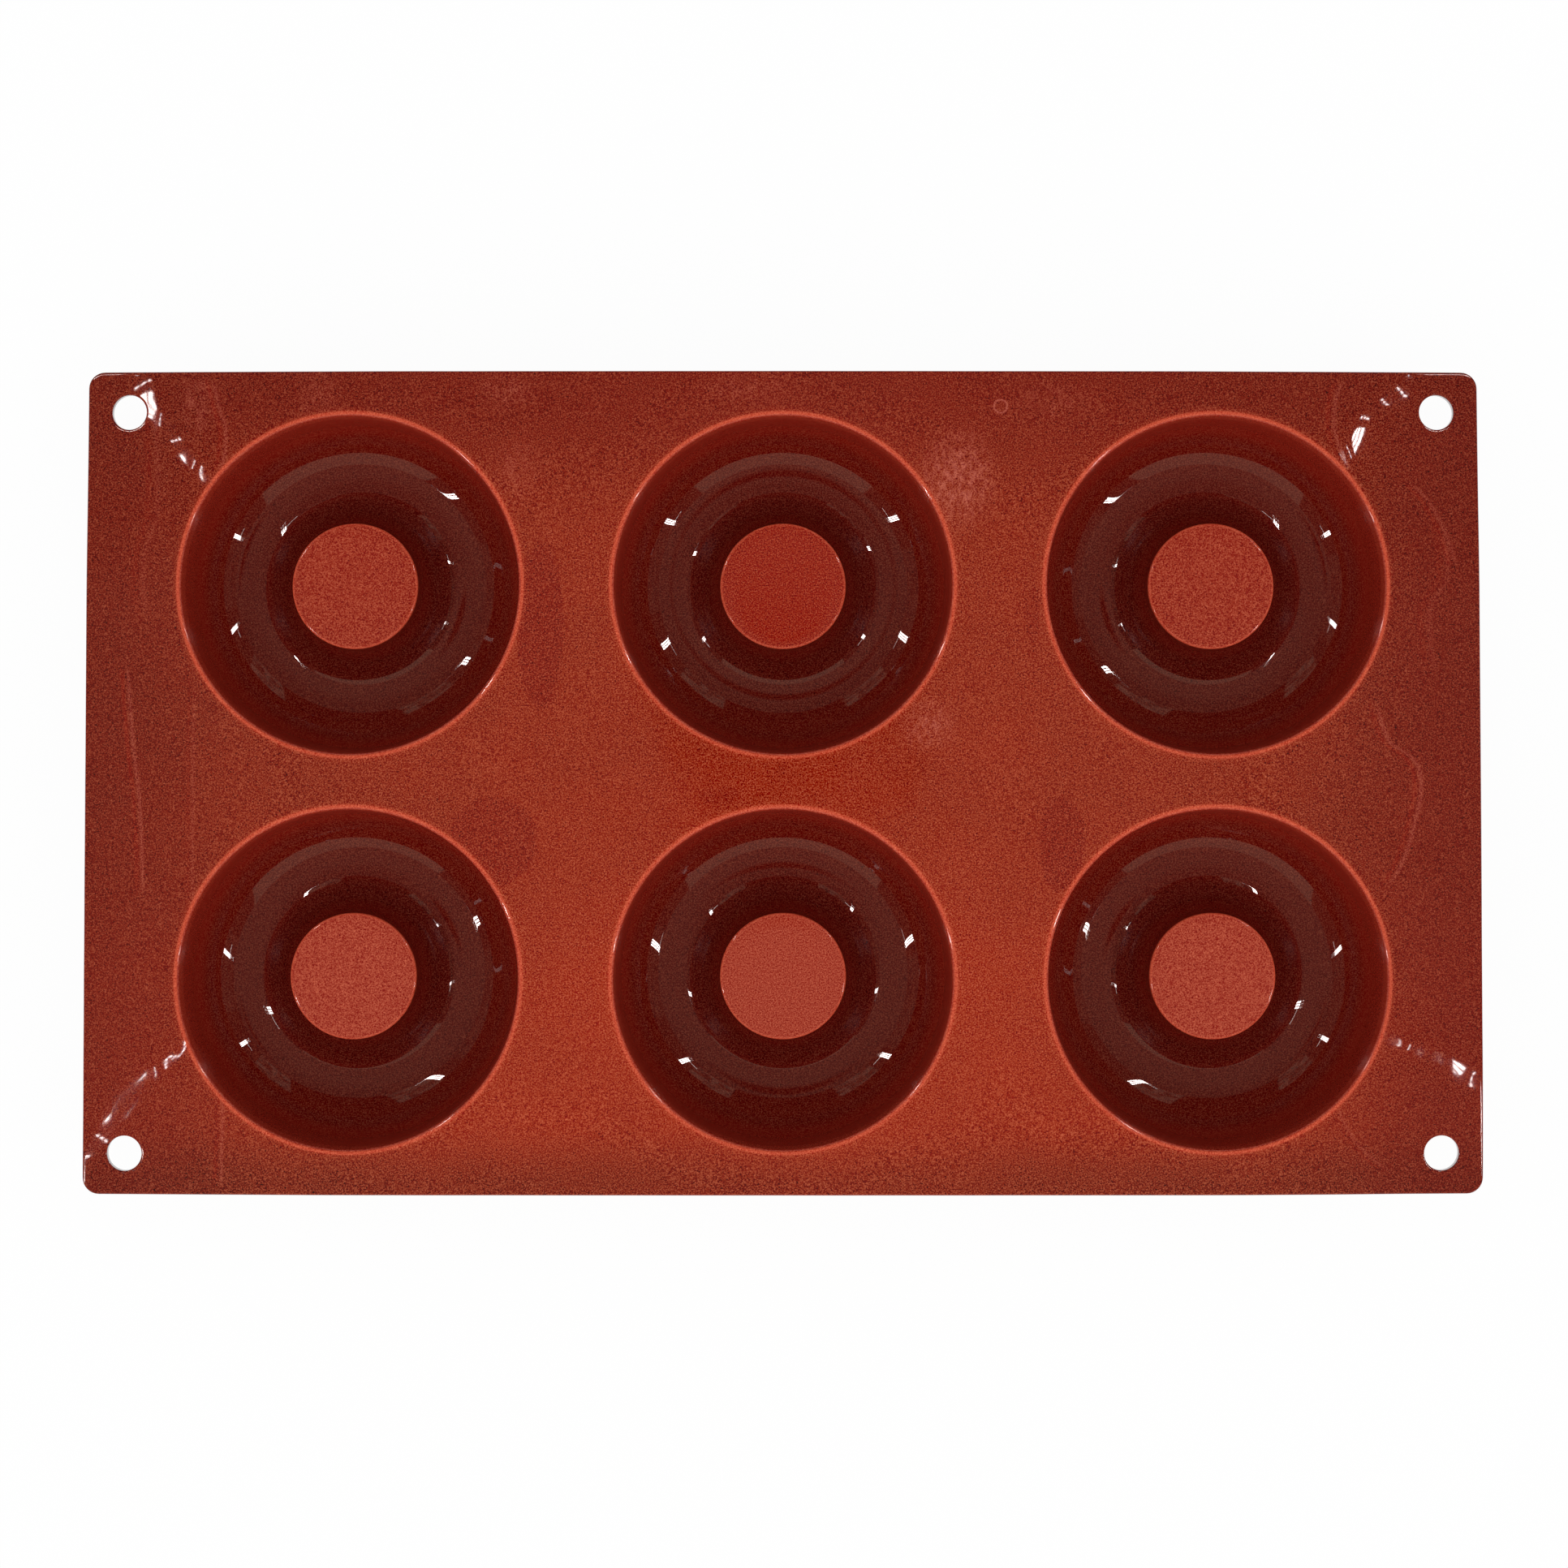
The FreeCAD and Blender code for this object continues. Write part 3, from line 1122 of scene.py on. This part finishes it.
# Places between which the finish changes, in millimetres: heights, a depth below the sheet's
# top, then places along x and along y
PLUG_FLAT_START = (13.4, 14.4)
SHEET_START = (5.0, 4.0)
RIGHT_END = (103.0, 146.0)
LEFT_END = (-103.0, -146.0)
MIDDLE_COLUMN = (47.0, 45.0)
BACK_END = (52.0, 86.0)
FRONT_ROW = (5.0, -5.0)
FRONT_EDGE = (-72.0, -87.0)
BESIDE_CUPS = (15.0, 45.0)

# Painted light and shade on the sheet: a painted pool of light, lightest at a place in front of its middle,
# and painted shade, darker and redder, at its ends
PAINTED_LIGHT_CENTRE_Y = -45.0
PAINTED_LIGHT_REACH = 275
PAINTED_LIGHT_FAR = 0.35
PAINTED_LIGHT_NEAR = 0.70
SHEET_TONE = 0.86
CLOUD_DEPTH = 0.28
BESIDE_CUPS_LIGHT = 0.06
FRONT_ROW_LIGHT = 0.08
FRONT_EDGE_DEPTH = 0.35
# Painted shade at the sheet's ends: its colour, how much of it, and the share at the left and back ends
PAINTED_END_SHADE = (0.185, 0.0, 0.0)
PAINTED_END_SHADE_DEPTH = 0.6
END_SHARE = 0.8

# Plugs: haze and tone in the front row, and the one plug that is rubbed clean
FRONT_PLUG_HAZE = 0.16
BARE_PLUG_SHARE = 0.9
PLUG_TONE = 0.865
FRONT_PLUG_TONE = 0.09
BARE_PLUG_TONE = 0.07

# Painted shade and light in the cavities, and the painted glow of thin edges
PAINTED_PLUG_SIDE_SHADE = 0.2
PAINTED_PLUG_FOOT_LIGHT = 0.35
PAINTED_BELOW_RIM_LIGHT = 0.55
RIM_GLOW = 0.85
BESIDE_RIM_GLOW = 0.15
PLUG_GLOW = 0.8

# Speckle, which the polish and the sheet's ends weaken, and what makes the gloss softer
SPECKLE_COLOUR = (0.20, 0.070, 0.036)
SPECKLE_DEPTH = 2.1
POLISHED_LOSS = 1.1
END_LOSS = 0.3
HAZE_ROUGHNESS = 0.15
PLUG_ROUGHNESS = 0.08
RIM_ROUGHNESS = 0.22
LEAST_COLOUR = (0.001, 0.001, 0.001)
RUBBER_IOR = 1.42
PEEL_HEIGHT = 0.001


class Place:
    """Where a point of the surface lies on the mould, in millimetres, with masks of its parts."""

    def __init__(self, shader, sizes):
        self.point = shader.node("ShaderNodeTexCoord").output("Object")
        self.x, self.y, self.z = [axis * (1 / MM) for axis in shader.split(self.point)]
        self.polish = shader.node("ShaderNodeAttribute", {"attribute_name": POLISH}).output("Fac")
        self.radius = self.cup_radius(shader, sizes)
        self.plug = sizes.plug_diameter / 2 / MM
        self.mouth = sizes.cavity_diameter / 2 / MM
        self.crown = CupSection(sizes, 0).crown / MM
        top = sizes.sheet_top / MM
        self.near_top = shader.fade(self.z, *(top - depth for depth in SHEET_START))
        self.near_flat = shader.fade(self.z, *PLUG_FLAT_START)
        self.on_plug = shader.fade(self.radius, self.plug + 0.7, self.plug - 0.1) * self.near_flat
        self.on_sheet = shader.fade(self.radius, self.mouth + 0.9, self.mouth + 1.3) * self.near_top
        self.front_row = shader.fade(self.y, *FRONT_ROW)
        # The sheet's ends, where painted shade darkens it
        left_end = shader.fade(self.x, *LEFT_END) * END_SHARE
        back_end = shader.fade(self.y, *BACK_END) * END_SHARE
        self.ends = shader.highest(shader.fade(self.x, *RIGHT_END), left_end, back_end)

    def cup_radius(self, shader, sizes):
        """Distance from the axis of the nearest cup."""
        pitch_x = sizes.pitch_along / MM
        pitch_y = sizes.pitch_across / MM
        farthest = (sizes.cups_along - 1) // 2
        column = shader.maths("ROUND", self.x / pitch_x)
        column = shader.highest(shader.lower(column, farthest), -farthest)
        return shader.distance(self.x - column * pitch_x, abs(self.y) - pitch_y / 2)


def oval(shader, at, centre, half, wander):
    """Distance from a spot on the sheet, which is 1 at its uneven oval edge."""
    across = (at.x - centre[0] + wander) / half[0]
    along = (at.y - centre[1] - wander) / half[1]
    return shader.distance(across, along)


def flow_line(shader, at, points, half_width):
    """Masks of a thin dark line that wanders over the sheet from back to front, and of its pale side."""
    back = points[0][1]
    front = points[-1][1]
    low = min(point[0] for point in points)
    reach = max(point[0] for point in points) - low
    share = (at.y - front) / (back - front)
    places = [((py - front) / (back - front), (px - low) / reach) for px, py in reversed(points)]
    bend_share = shader.node("ShaderNodeFloatCurve", {"curve": places}, 1.0, share)
    across = at.x - (bend_share * reach + low)
    ends = shader.fade(share, 0.0, FLOW_LINE_END) * shader.fade(share, 1.0, 1.0 - FLOW_LINE_END)
    dark = shader.fade(abs(across), half_width, 0.0) * ends
    pale = shader.fade(abs(across - half_width * FLOW_LINE_SIDE), half_width, 0.0) * ends
    return dark, pale


def sheet_marks(shader, at):
    """Masks of the dark and of the pale marks that moulding and use left on the sheet."""
    wander = (shader.noise(at.point, *WISP) - 0.5) * MARK_WANDER
    swirl_place = shader.vectors("MULTIPLY", at.point, SWIRL_STRETCH)
    swirl = shader.fade(shader.noise(swirl_place, *SWIRL), *SWIRL_RANGE)
    dark = []
    pale = []
    for centre, half, strength in DARK_PATCHES:
        dark.append(shader.fade(oval(shader, at, centre, half, wander), *PATCH_EDGE) * strength)
    for centre, half, strength in HAZE_PATCHES:
        pale.append(shader.fade(oval(shader, at, centre, half, wander), *HAZE_EDGE) * swirl * strength)
    for points, half_width, strength in FLOW_LINES:
        line_dark, line_pale = flow_line(shader, at, points, half_width)
        dark.append(line_dark * strength)
        pale.append(line_pale * (FLOW_LINE_PALE * strength))
    (ring_x, ring_y), ring_radius = RING_MARK
    ring_gap = abs(shader.distance(at.x - ring_x, at.y - ring_y) - ring_radius)
    pale.append(shader.fade(ring_gap, *RING_LINE) * RING_DEPTH)
    gate = shader.distance(at.x - GATE_MARK[0], at.y - GATE_MARK[1])
    dark.append(shader.fade(gate, *GATE_EDGE) * GATE_DEPTH)
    return shader.highest(*dark) * at.on_sheet, shader.highest(*pale) * at.on_sheet


def sheet_colour(shader, at, finish):
    """Satin red of the sheet, cloudy and lighter beside the cups, darker towards its front edge, with a
    painted pool of light in front of its middle and painted shade at its ends.
    """
    cloud = shader.noise(at.point, *CLOUD)
    beside_cups = shader.fade(abs(at.y), *BESIDE_CUPS) * (BESIDE_CUPS_LIGHT + at.front_row * FRONT_ROW_LIGHT)
    front_edge = shader.fade(at.y, *FRONT_EDGE) * FRONT_EDGE_DEPTH
    # Painted pool of light: the tone falls away from a place in front of the sheet's middle, as a lamp's
    # light would
    forward = at.y - PAINTED_LIGHT_CENTRE_Y
    spread = 1 + (at.x * at.x + forward * forward) * (1 / PAINTED_LIGHT_REACH ** 2)
    tone = PAINTED_LIGHT_FAR + PAINTED_LIGHT_NEAR / (spread * spread)
    local_tone = SHEET_TONE + cloud * CLOUD_DEPTH + beside_cups - front_edge
    sheet = shader.tint(finish.sheet_colour, local_tone * tone)
    # Painted shade, darker and redder, towards the sheet's ends
    return shader.mix(at.ends * PAINTED_END_SHADE_DEPTH, sheet, shader.tint(PAINTED_END_SHADE, tone))


def plug_colour(shader, at, finish):
    """Red of the plugs' flats: hazier in the front row, and rubbed clean on the back middle cup."""
    back_middle = shader.fade(abs(at.x), *MIDDLE_COLUMN) * (1 - at.front_row)
    plug = shader.mix(at.front_row * FRONT_PLUG_HAZE, finish.plug_colour, finish.haze_colour)
    plug = shader.mix(back_middle * BARE_PLUG_SHARE, plug, finish.bare_plug_colour)
    return shader.tint(plug, PLUG_TONE + at.front_row * FRONT_PLUG_TONE + back_middle * BARE_PLUG_TONE)


def shaded_cavity_colour(shader, at, finish):
    """Dark red of the polished cavities, darkened by painted shade that is deeper on the plug's side of the
    groove, with painted light at the plug's foot and below the rim.
    """
    outer_wall = shader.fade(at.radius, at.crown + 1.0, at.mouth - 4.0)
    plug_side = shader.fade(at.radius, at.crown - 3.2, at.crown - 5.2)
    by_plug = shader.fade(at.radius, at.plug + 3.0, at.plug + 0.4)
    below_rim = shader.fade(at.radius, at.mouth - 3.6, at.mouth - 0.6)
    cavity = shader.mix(outer_wall, finish.groove_colour, finish.wall_colour)
    # Painted shade on the plug's side of the groove, painted light at the plug's foot and below the rim
    tone = 1 - plug_side * PAINTED_PLUG_SIDE_SHADE + by_plug * PAINTED_PLUG_FOOT_LIGHT + below_rim * PAINTED_BELOW_RIM_LIGHT
    return shader.tint(cavity, tone)


def painted_edge_glow(shader, at):
    """Mask of the painted glow on thin edges, which stands in for light that comes through them: the rims,
    and the edges of the plugs.
    """
    rim = shader.fade(abs(at.radius - (at.mouth + 0.68)), 0.75, 0.1) * at.near_top
    beside_rim = shader.fade(at.radius, at.mouth + 2.4, at.mouth + 0.9) * at.near_top
    plug = shader.fade(abs(at.radius - (at.plug - 0.15)), 0.5, 0.05) * at.near_flat
    return shader.highest(rim * RIM_GLOW, beside_rim * BESIDE_RIM_GLOW, plug * PLUG_GLOW)


def write_silicone(shader, sizes, finish):
    """Node tree of the silicone rubber."""
    at = Place(shader, sizes)
    dark, pale = sheet_marks(shader, at)
    colour = shader.mix(at.on_plug, sheet_colour(shader, at, finish), plug_colour(shader, at, finish))
    colour = shader.mix(dark * PATCH_DEPTH, colour, PATCH_COLOUR)
    colour = shader.mix(pale * HAZE_DEPTH, colour, finish.haze_colour)
    colour = shader.mix(at.polish, colour, shaded_cavity_colour(shader, at, finish))
    # Painted glow on thin edges
    colour = shader.mix(painted_edge_glow(shader, at), colour, finish.edge_glow_colour)
    speckle = shader.noise(at.point, *GRAIN) + shader.noise(at.point, *FINE_GRAIN) - 1.0
    speckle = speckle * (SPECKLE_DEPTH - at.polish * POLISHED_LOSS) * (1 - at.ends * END_LOSS)
    colour = shader.vectors("ADD", shader.tint(SPECKLE_COLOUR, speckle), colour)
    colour = shader.vectors("MAXIMUM", colour, LEAST_COLOUR)

    below_rim = shader.fade(at.radius, at.mouth - 5.5, at.mouth - 4.0) * at.polish
    roughness = at.polish * (finish.cavity_roughness - finish.sheet_roughness) + finish.sheet_roughness
    roughness = roughness + pale * HAZE_ROUGHNESS + at.on_plug * PLUG_ROUGHNESS + below_rim * RIM_ROUGHNESS
    relief = (shader.noise(at.point, *PEEL) - 0.5) * PEEL_HEIGHT
    surface = shader.node(
        "ShaderNodeBsdfPrincipled",
        Base_Color=colour,
        Roughness=roughness,
        IOR=RUBBER_IOR,
        Normal=shader.node("ShaderNodeBump", Strength=1.0, Distance=MM, Height=relief),
    )
    shader.node("ShaderNodeOutputMaterial", None, surface)


class MakeSilicone(bpy.types.Operator):
    """Make the silicone rubber: satin sheet and plugs, polished cavities, marks of moulding and use, painted
    light and shade on the sheet and in the cavities, and a painted glow on thin edges
    """

    bl_idname = "baba_mould.silicone"
    bl_label = "Silicone finish"

    def execute(self, context):
        _, shader = new_material(MATERIAL)
        write_silicone(shader, context.scene.baba_sizes, context.scene.baba_finish)
        return {"FINISHED"}


WHITE = (1, 1, 1)
FLOOR_HALF = 6.0
FLOOR_DROP = 0.2 * MM
FLOOR_GREY = (0.9, 0.9, 0.9)
FLOOR_OWN_WHITE = 0.955


def seen_rays(shader):
    """1 for rays that show the background itself: straight, mirrored or let through."""
    path = shader.node("ShaderNodeLightPath")
    kinds = ("Is Camera Ray", "Is Glossy Ray", "Is Transmission Ray")
    return shader.highest(*(path.output(kind) for kind in kinds))


def stage_sheet(name, corners, height, material):
    """Level piece of the stage, whose corners run anticlockwise seen from its shown side."""
    mesh = bpy.data.meshes.new(name)
    mesh.from_pydata([(*corner, height) for corner in corners], [], [tuple(range(len(corners)))])
    mesh.materials.append(material)
    sheet = add_object(name, mesh)
    return sheet


def make_floor():
    """White floor that keeps a light shadow."""
    material, shader = new_material("floor_white")
    plain = shader.node("ShaderNodeBsdfDiffuse", None, FLOOR_GREY)
    white = shader.node("ShaderNodeEmission", None, WHITE, 1.0)
    surface = shader.node("ShaderNodeMixShader", None, seen_rays(shader) * FLOOR_OWN_WHITE, plain, white)
    shader.node("ShaderNodeOutputMaterial", None, surface)
    corners = [(-1, -1), (1, -1), (1, 1), (-1, 1)]
    stage_sheet("floor", [(x * FLOOR_HALF, y * FLOOR_HALF) for x, y in corners], -FLOOR_DROP, material)


# Tops of the pale horizon and of the tent's walls, as heights of directions of length 1
HORIZON_TOP = math.sin(math.radians(18))
HORIZON_SOFTNESS = 0.02
CEILING_EDGE = math.cos(math.radians(27))
CEILING_SOFTNESS = 0.004

# Walls of the tent round the mould: middle and half width in degrees from +X, brightness and streaks
TENT_WALLS = [
    (-90.0, 43.0, 1.0, 0.05),
    (-6.0, 20.0, 0.40, 0.4),
    (172.0, 22.0, 0.40, 0.4),
    (53.5, 11.0, 0.95, 0.75),
    (127.0, 11.0, 0.95, 0.75),
]
TENT_DIM = 0.17
TENT_TINT = (1.0, 0.76, 0.55)
WALL_SOFTNESS = 0.7
BACK_GAP = (91.0, 26.0)
BACK_GAP_DEPTH = 0.85
# Noise of the streaks: scale, detail, roughness and distortion
STREAK_NOISE = (9.0, 3.0, 0.6, 1.5)
STREAK_RANGE = (0.40, 0.62)
CEILING_LEVEL = 0.30
CEILING_FRONT = 0.20
CEILING_FRONT_START = (0.25, -0.10)

# Even light from all round, stronger from the front than from the back
SKY_LEAST = 0.55
SKY_RISE = 0.9
SKY_RANGE = (0.9, -0.9)


def sector(shader, turn, middle, half):
    """Mask of the directions within a half width of a middle one."""
    apart = abs(turn - middle)
    apart = shader.lower(apart, abs(360 - apart))
    return shader.fade(apart, half + WALL_SOFTNESS, half - WALL_SOFTNESS)


def write_world(stage):
    """World with a pale horizon and, above it, the walls and ceiling of a grey tent."""
    world = bpy.data.worlds.new("studio")
    bpy.context.scene.world = world
    world.use_nodes = True
    shader = Nodes(world.node_tree)
    way = shader.node("ShaderNodeTexCoord").output("Generated")
    across, back, height = shader.split(way)
    turn = shader.maths("ARCTAN2", back, across) * (180 / math.pi)
    streak = shader.fade(shader.noise(way, *STREAK_NOISE), *STREAK_RANGE)
    level = TENT_DIM
    for middle, half, brightness, streaky in TENT_WALLS:
        wanted = brightness * (1 - streaky) + streak * (brightness * streaky)
        level = sector(shader, turn, middle, half) * (wanted - level) + level
    level = level * (1 - sector(shader, turn, *BACK_GAP) * BACK_GAP_DEPTH)
    front_light = shader.fade(back, *CEILING_FRONT_START)
    ceiling = (CEILING_LEVEL + front_light * CEILING_FRONT) * (0.93 + streak * 0.10)
    overhead = shader.fade(height, CEILING_EDGE - CEILING_SOFTNESS, CEILING_EDGE + CEILING_SOFTNESS)
    level = overhead * (ceiling - level) + level
    horizon = shader.fade(height, HORIZON_TOP + HORIZON_SOFTNESS, HORIZON_TOP - HORIZON_SOFTNESS)
    shown = shader.mix(horizon, shader.tint(TENT_TINT, level), WHITE)
    sky_level = (shader.fade(back, *SKY_RANGE) * SKY_RISE + SKY_LEAST) * stage.sky_strength
    sky = shader.node("ShaderNodeBackground", None, WHITE, sky_level)
    seen = shader.node("ShaderNodeBackground", None, shown, 1.0)
    surface = shader.node("ShaderNodeMixShader", None, seen_rays(shader), sky, seen)
    shader.node("ShaderNodeOutputWorld", None, surface)


CARD_RADIUS = 90 * MM
CARD_DARK_RADIUS = 25 * MM
CARD_CORNERS = 48
CARD_LEAST = 0.04
CARD_RISE = 0.40


def make_camera_card(stage):
    """Dark disc at the camera, which is seen only mirrored in glossy surfaces."""
    material, shader = new_material("card_dark")
    x, y, _ = shader.split(shader.node("ShaderNodeTexCoord").output("Object"))
    away = shader.distance(x - stage.camera_offset[0], y - stage.camera_offset[1])
    level = shader.fade(away, CARD_DARK_RADIUS, CARD_RADIUS) * CARD_RISE + CARD_LEAST
    shown = shader.node("ShaderNodeEmission", None, shader.tint(TENT_TINT, level), 1.0)
    shader.node("ShaderNodeOutputMaterial", None, shown)
    rim = ring(stage.camera_offset, CARD_RADIUS, CARD_CORNERS)[::-1]
    card = stage_sheet("camera_card", rim, SHEET_HIGH.z + stage.camera_height, material)
    for rays in ("camera", "diffuse", "shadow", "transmission"):
        setattr(card, f"visible_{rays}", False)


# Parts of a lamp tower, with heights given by how far from straight up they are seen, in degrees
CELL_ZENITHS = (29.5, 27.75, 26.0)
BAR_ZENITHS = (52.0, 31.0)
TOWER_COLUMNS = (-1, 0, 1)
COLUMN_PITCH = 8.5 * MM
CELL_SIZE = 5.5 * MM
ARM_ZENITH = 33.0
ARM_LENGTH = 60 * MM
ARM_HEIGHT = 18 * MM
ARM_SHARE = 0.25
LAMP_TINT = (1.0, 0.88, 0.86)


def make_tower(name, stage):
    """Lamp tower of three columns, each three small cells above a long bar, with a short arm.

    It is seen only mirrored in glossy surfaces.
    """
    outwards = Vector((*around((0, 0), 1, math.radians(LAMP_TOWERS[name])), 0))
    sideways = Vector((-outwards.y, outwards.x, 0))
    sheet_middle = Vector((0, 0, SHEET_HIGH.z))
    bar_foot, bar_head = (tower_point(name, zenith) for zenith in BAR_ZENITHS)
    pieces = []
    for column in TOWER_COLUMNS:
        shift = sideways * (column * COLUMN_PITCH)
        pieces += [(tower_point(name, zenith) + shift, CELL_SIZE, CELL_SIZE, 1.0) for zenith in CELL_ZENITHS]
        pieces.append(((bar_foot + bar_head) / 2 + shift, CELL_SIZE, (bar_head - bar_foot).length, 1.0))
    towards_middle = -1 if sideways.x * outwards.x > 0 else 1
    arm = tower_point(name, ARM_ZENITH) + sideways * (towards_middle * ARM_LENGTH / 2)
    pieces.append((arm, ARM_LENGTH, ARM_HEIGHT, ARM_SHARE))
    for number, (centre, width, height, share) in enumerate(pieces):
        data = bpy.data.lights.new(f"{name}_lamp", "AREA")
        data.shape = "RECTANGLE"
        data.size = width
        data.size_y = height
        data.energy = stage.tower_radiance * share * math.pi * width * height
        data.color = LAMP_TINT
        lamp = add_object(f"{name}_{number}", data)
        lamp.location = centre + sheet_middle
        lamp.rotation_euler = (-outwards).to_track_quat("-Z", "Y").to_euler()
        lamp.visible_camera = False
        lamp.visible_diffuse = False


SENSOR_WIDTH = 36


def make_camera(stage):
    """Camera straight above the mould, with a slight tilt and a shift that frames it."""
    data = bpy.data.cameras.new("camera")
    data.sensor_width = SENSOR_WIDTH
    data.lens = stage.lens
    data.shift_x, data.shift_y = stage.shift
    camera = add_object("camera", data)
    camera.location = (*stage.camera_offset, SHEET_HIGH.z + stage.camera_height)
    camera.rotation_euler = (stage.camera_tilt, 0, 0)
    bpy.context.scene.camera = camera


class MakeStage(bpy.types.Operator):
    """Make the white floor, the tent and its even light, the camera and the lamp towers"""

    bl_idname = "baba_mould.stage"
    bl_label = "Stage"

    def execute(self, context):
        stage = context.scene.baba_stage
        make_floor()
        write_world(stage)
        make_camera_card(stage)
        for name in LAMP_TOWERS:
            make_tower(name, stage)
        make_camera(stage)
        context.scene.view_settings.view_transform = "Standard"
        return {"FINISHED"}


GROUPS = {"baba_sizes": MouldSizes, "baba_finish": SiliconeFinish, "baba_stage": StageSettings}
OPERATORS = (MakeSilicone, MakeMouldBody, MakeStage)


class BabaMouldPanel(bpy.types.Panel):
    """Sizes, finish and stage of the baba mould"""

    bl_idname = "BABA_MOULD_PT_panel"
    bl_label = "Baba Mould"
    bl_space_type = "VIEW_3D"
    bl_region_type = "UI"
    bl_category = "Baba Mould"

    def draw(self, context):
        for operator in OPERATORS:
            self.layout.operator(operator.bl_idname)
        for group in GROUPS:
            settings = getattr(context.scene, group)
            column = self.layout.column()
            for name in settings.bl_rna.properties.keys():
                if name not in ("rna_type", "name"):
                    column.prop(settings, name)


def register():
    for name, group in GROUPS.items():
        bpy.utils.register_class(group)
        setattr(bpy.types.Scene, name, bpy.props.PointerProperty(type=group))
    for shown in (*OPERATORS, BabaMouldPanel):
        bpy.utils.register_class(shown)


def unregister():
    for shown in (BabaMouldPanel, *reversed(OPERATORS)):
        bpy.utils.unregister_class(shown)
    for name, group in GROUPS.items():
        delattr(bpy.types.Scene, name)
        bpy.utils.unregister_class(group)


def main():
    register()
    bpy.ops.baba_mould.silicone()
    bpy.ops.baba_mould.body()
    bpy.ops.baba_mould.stage()


if __name__ == "__main__":
    main()
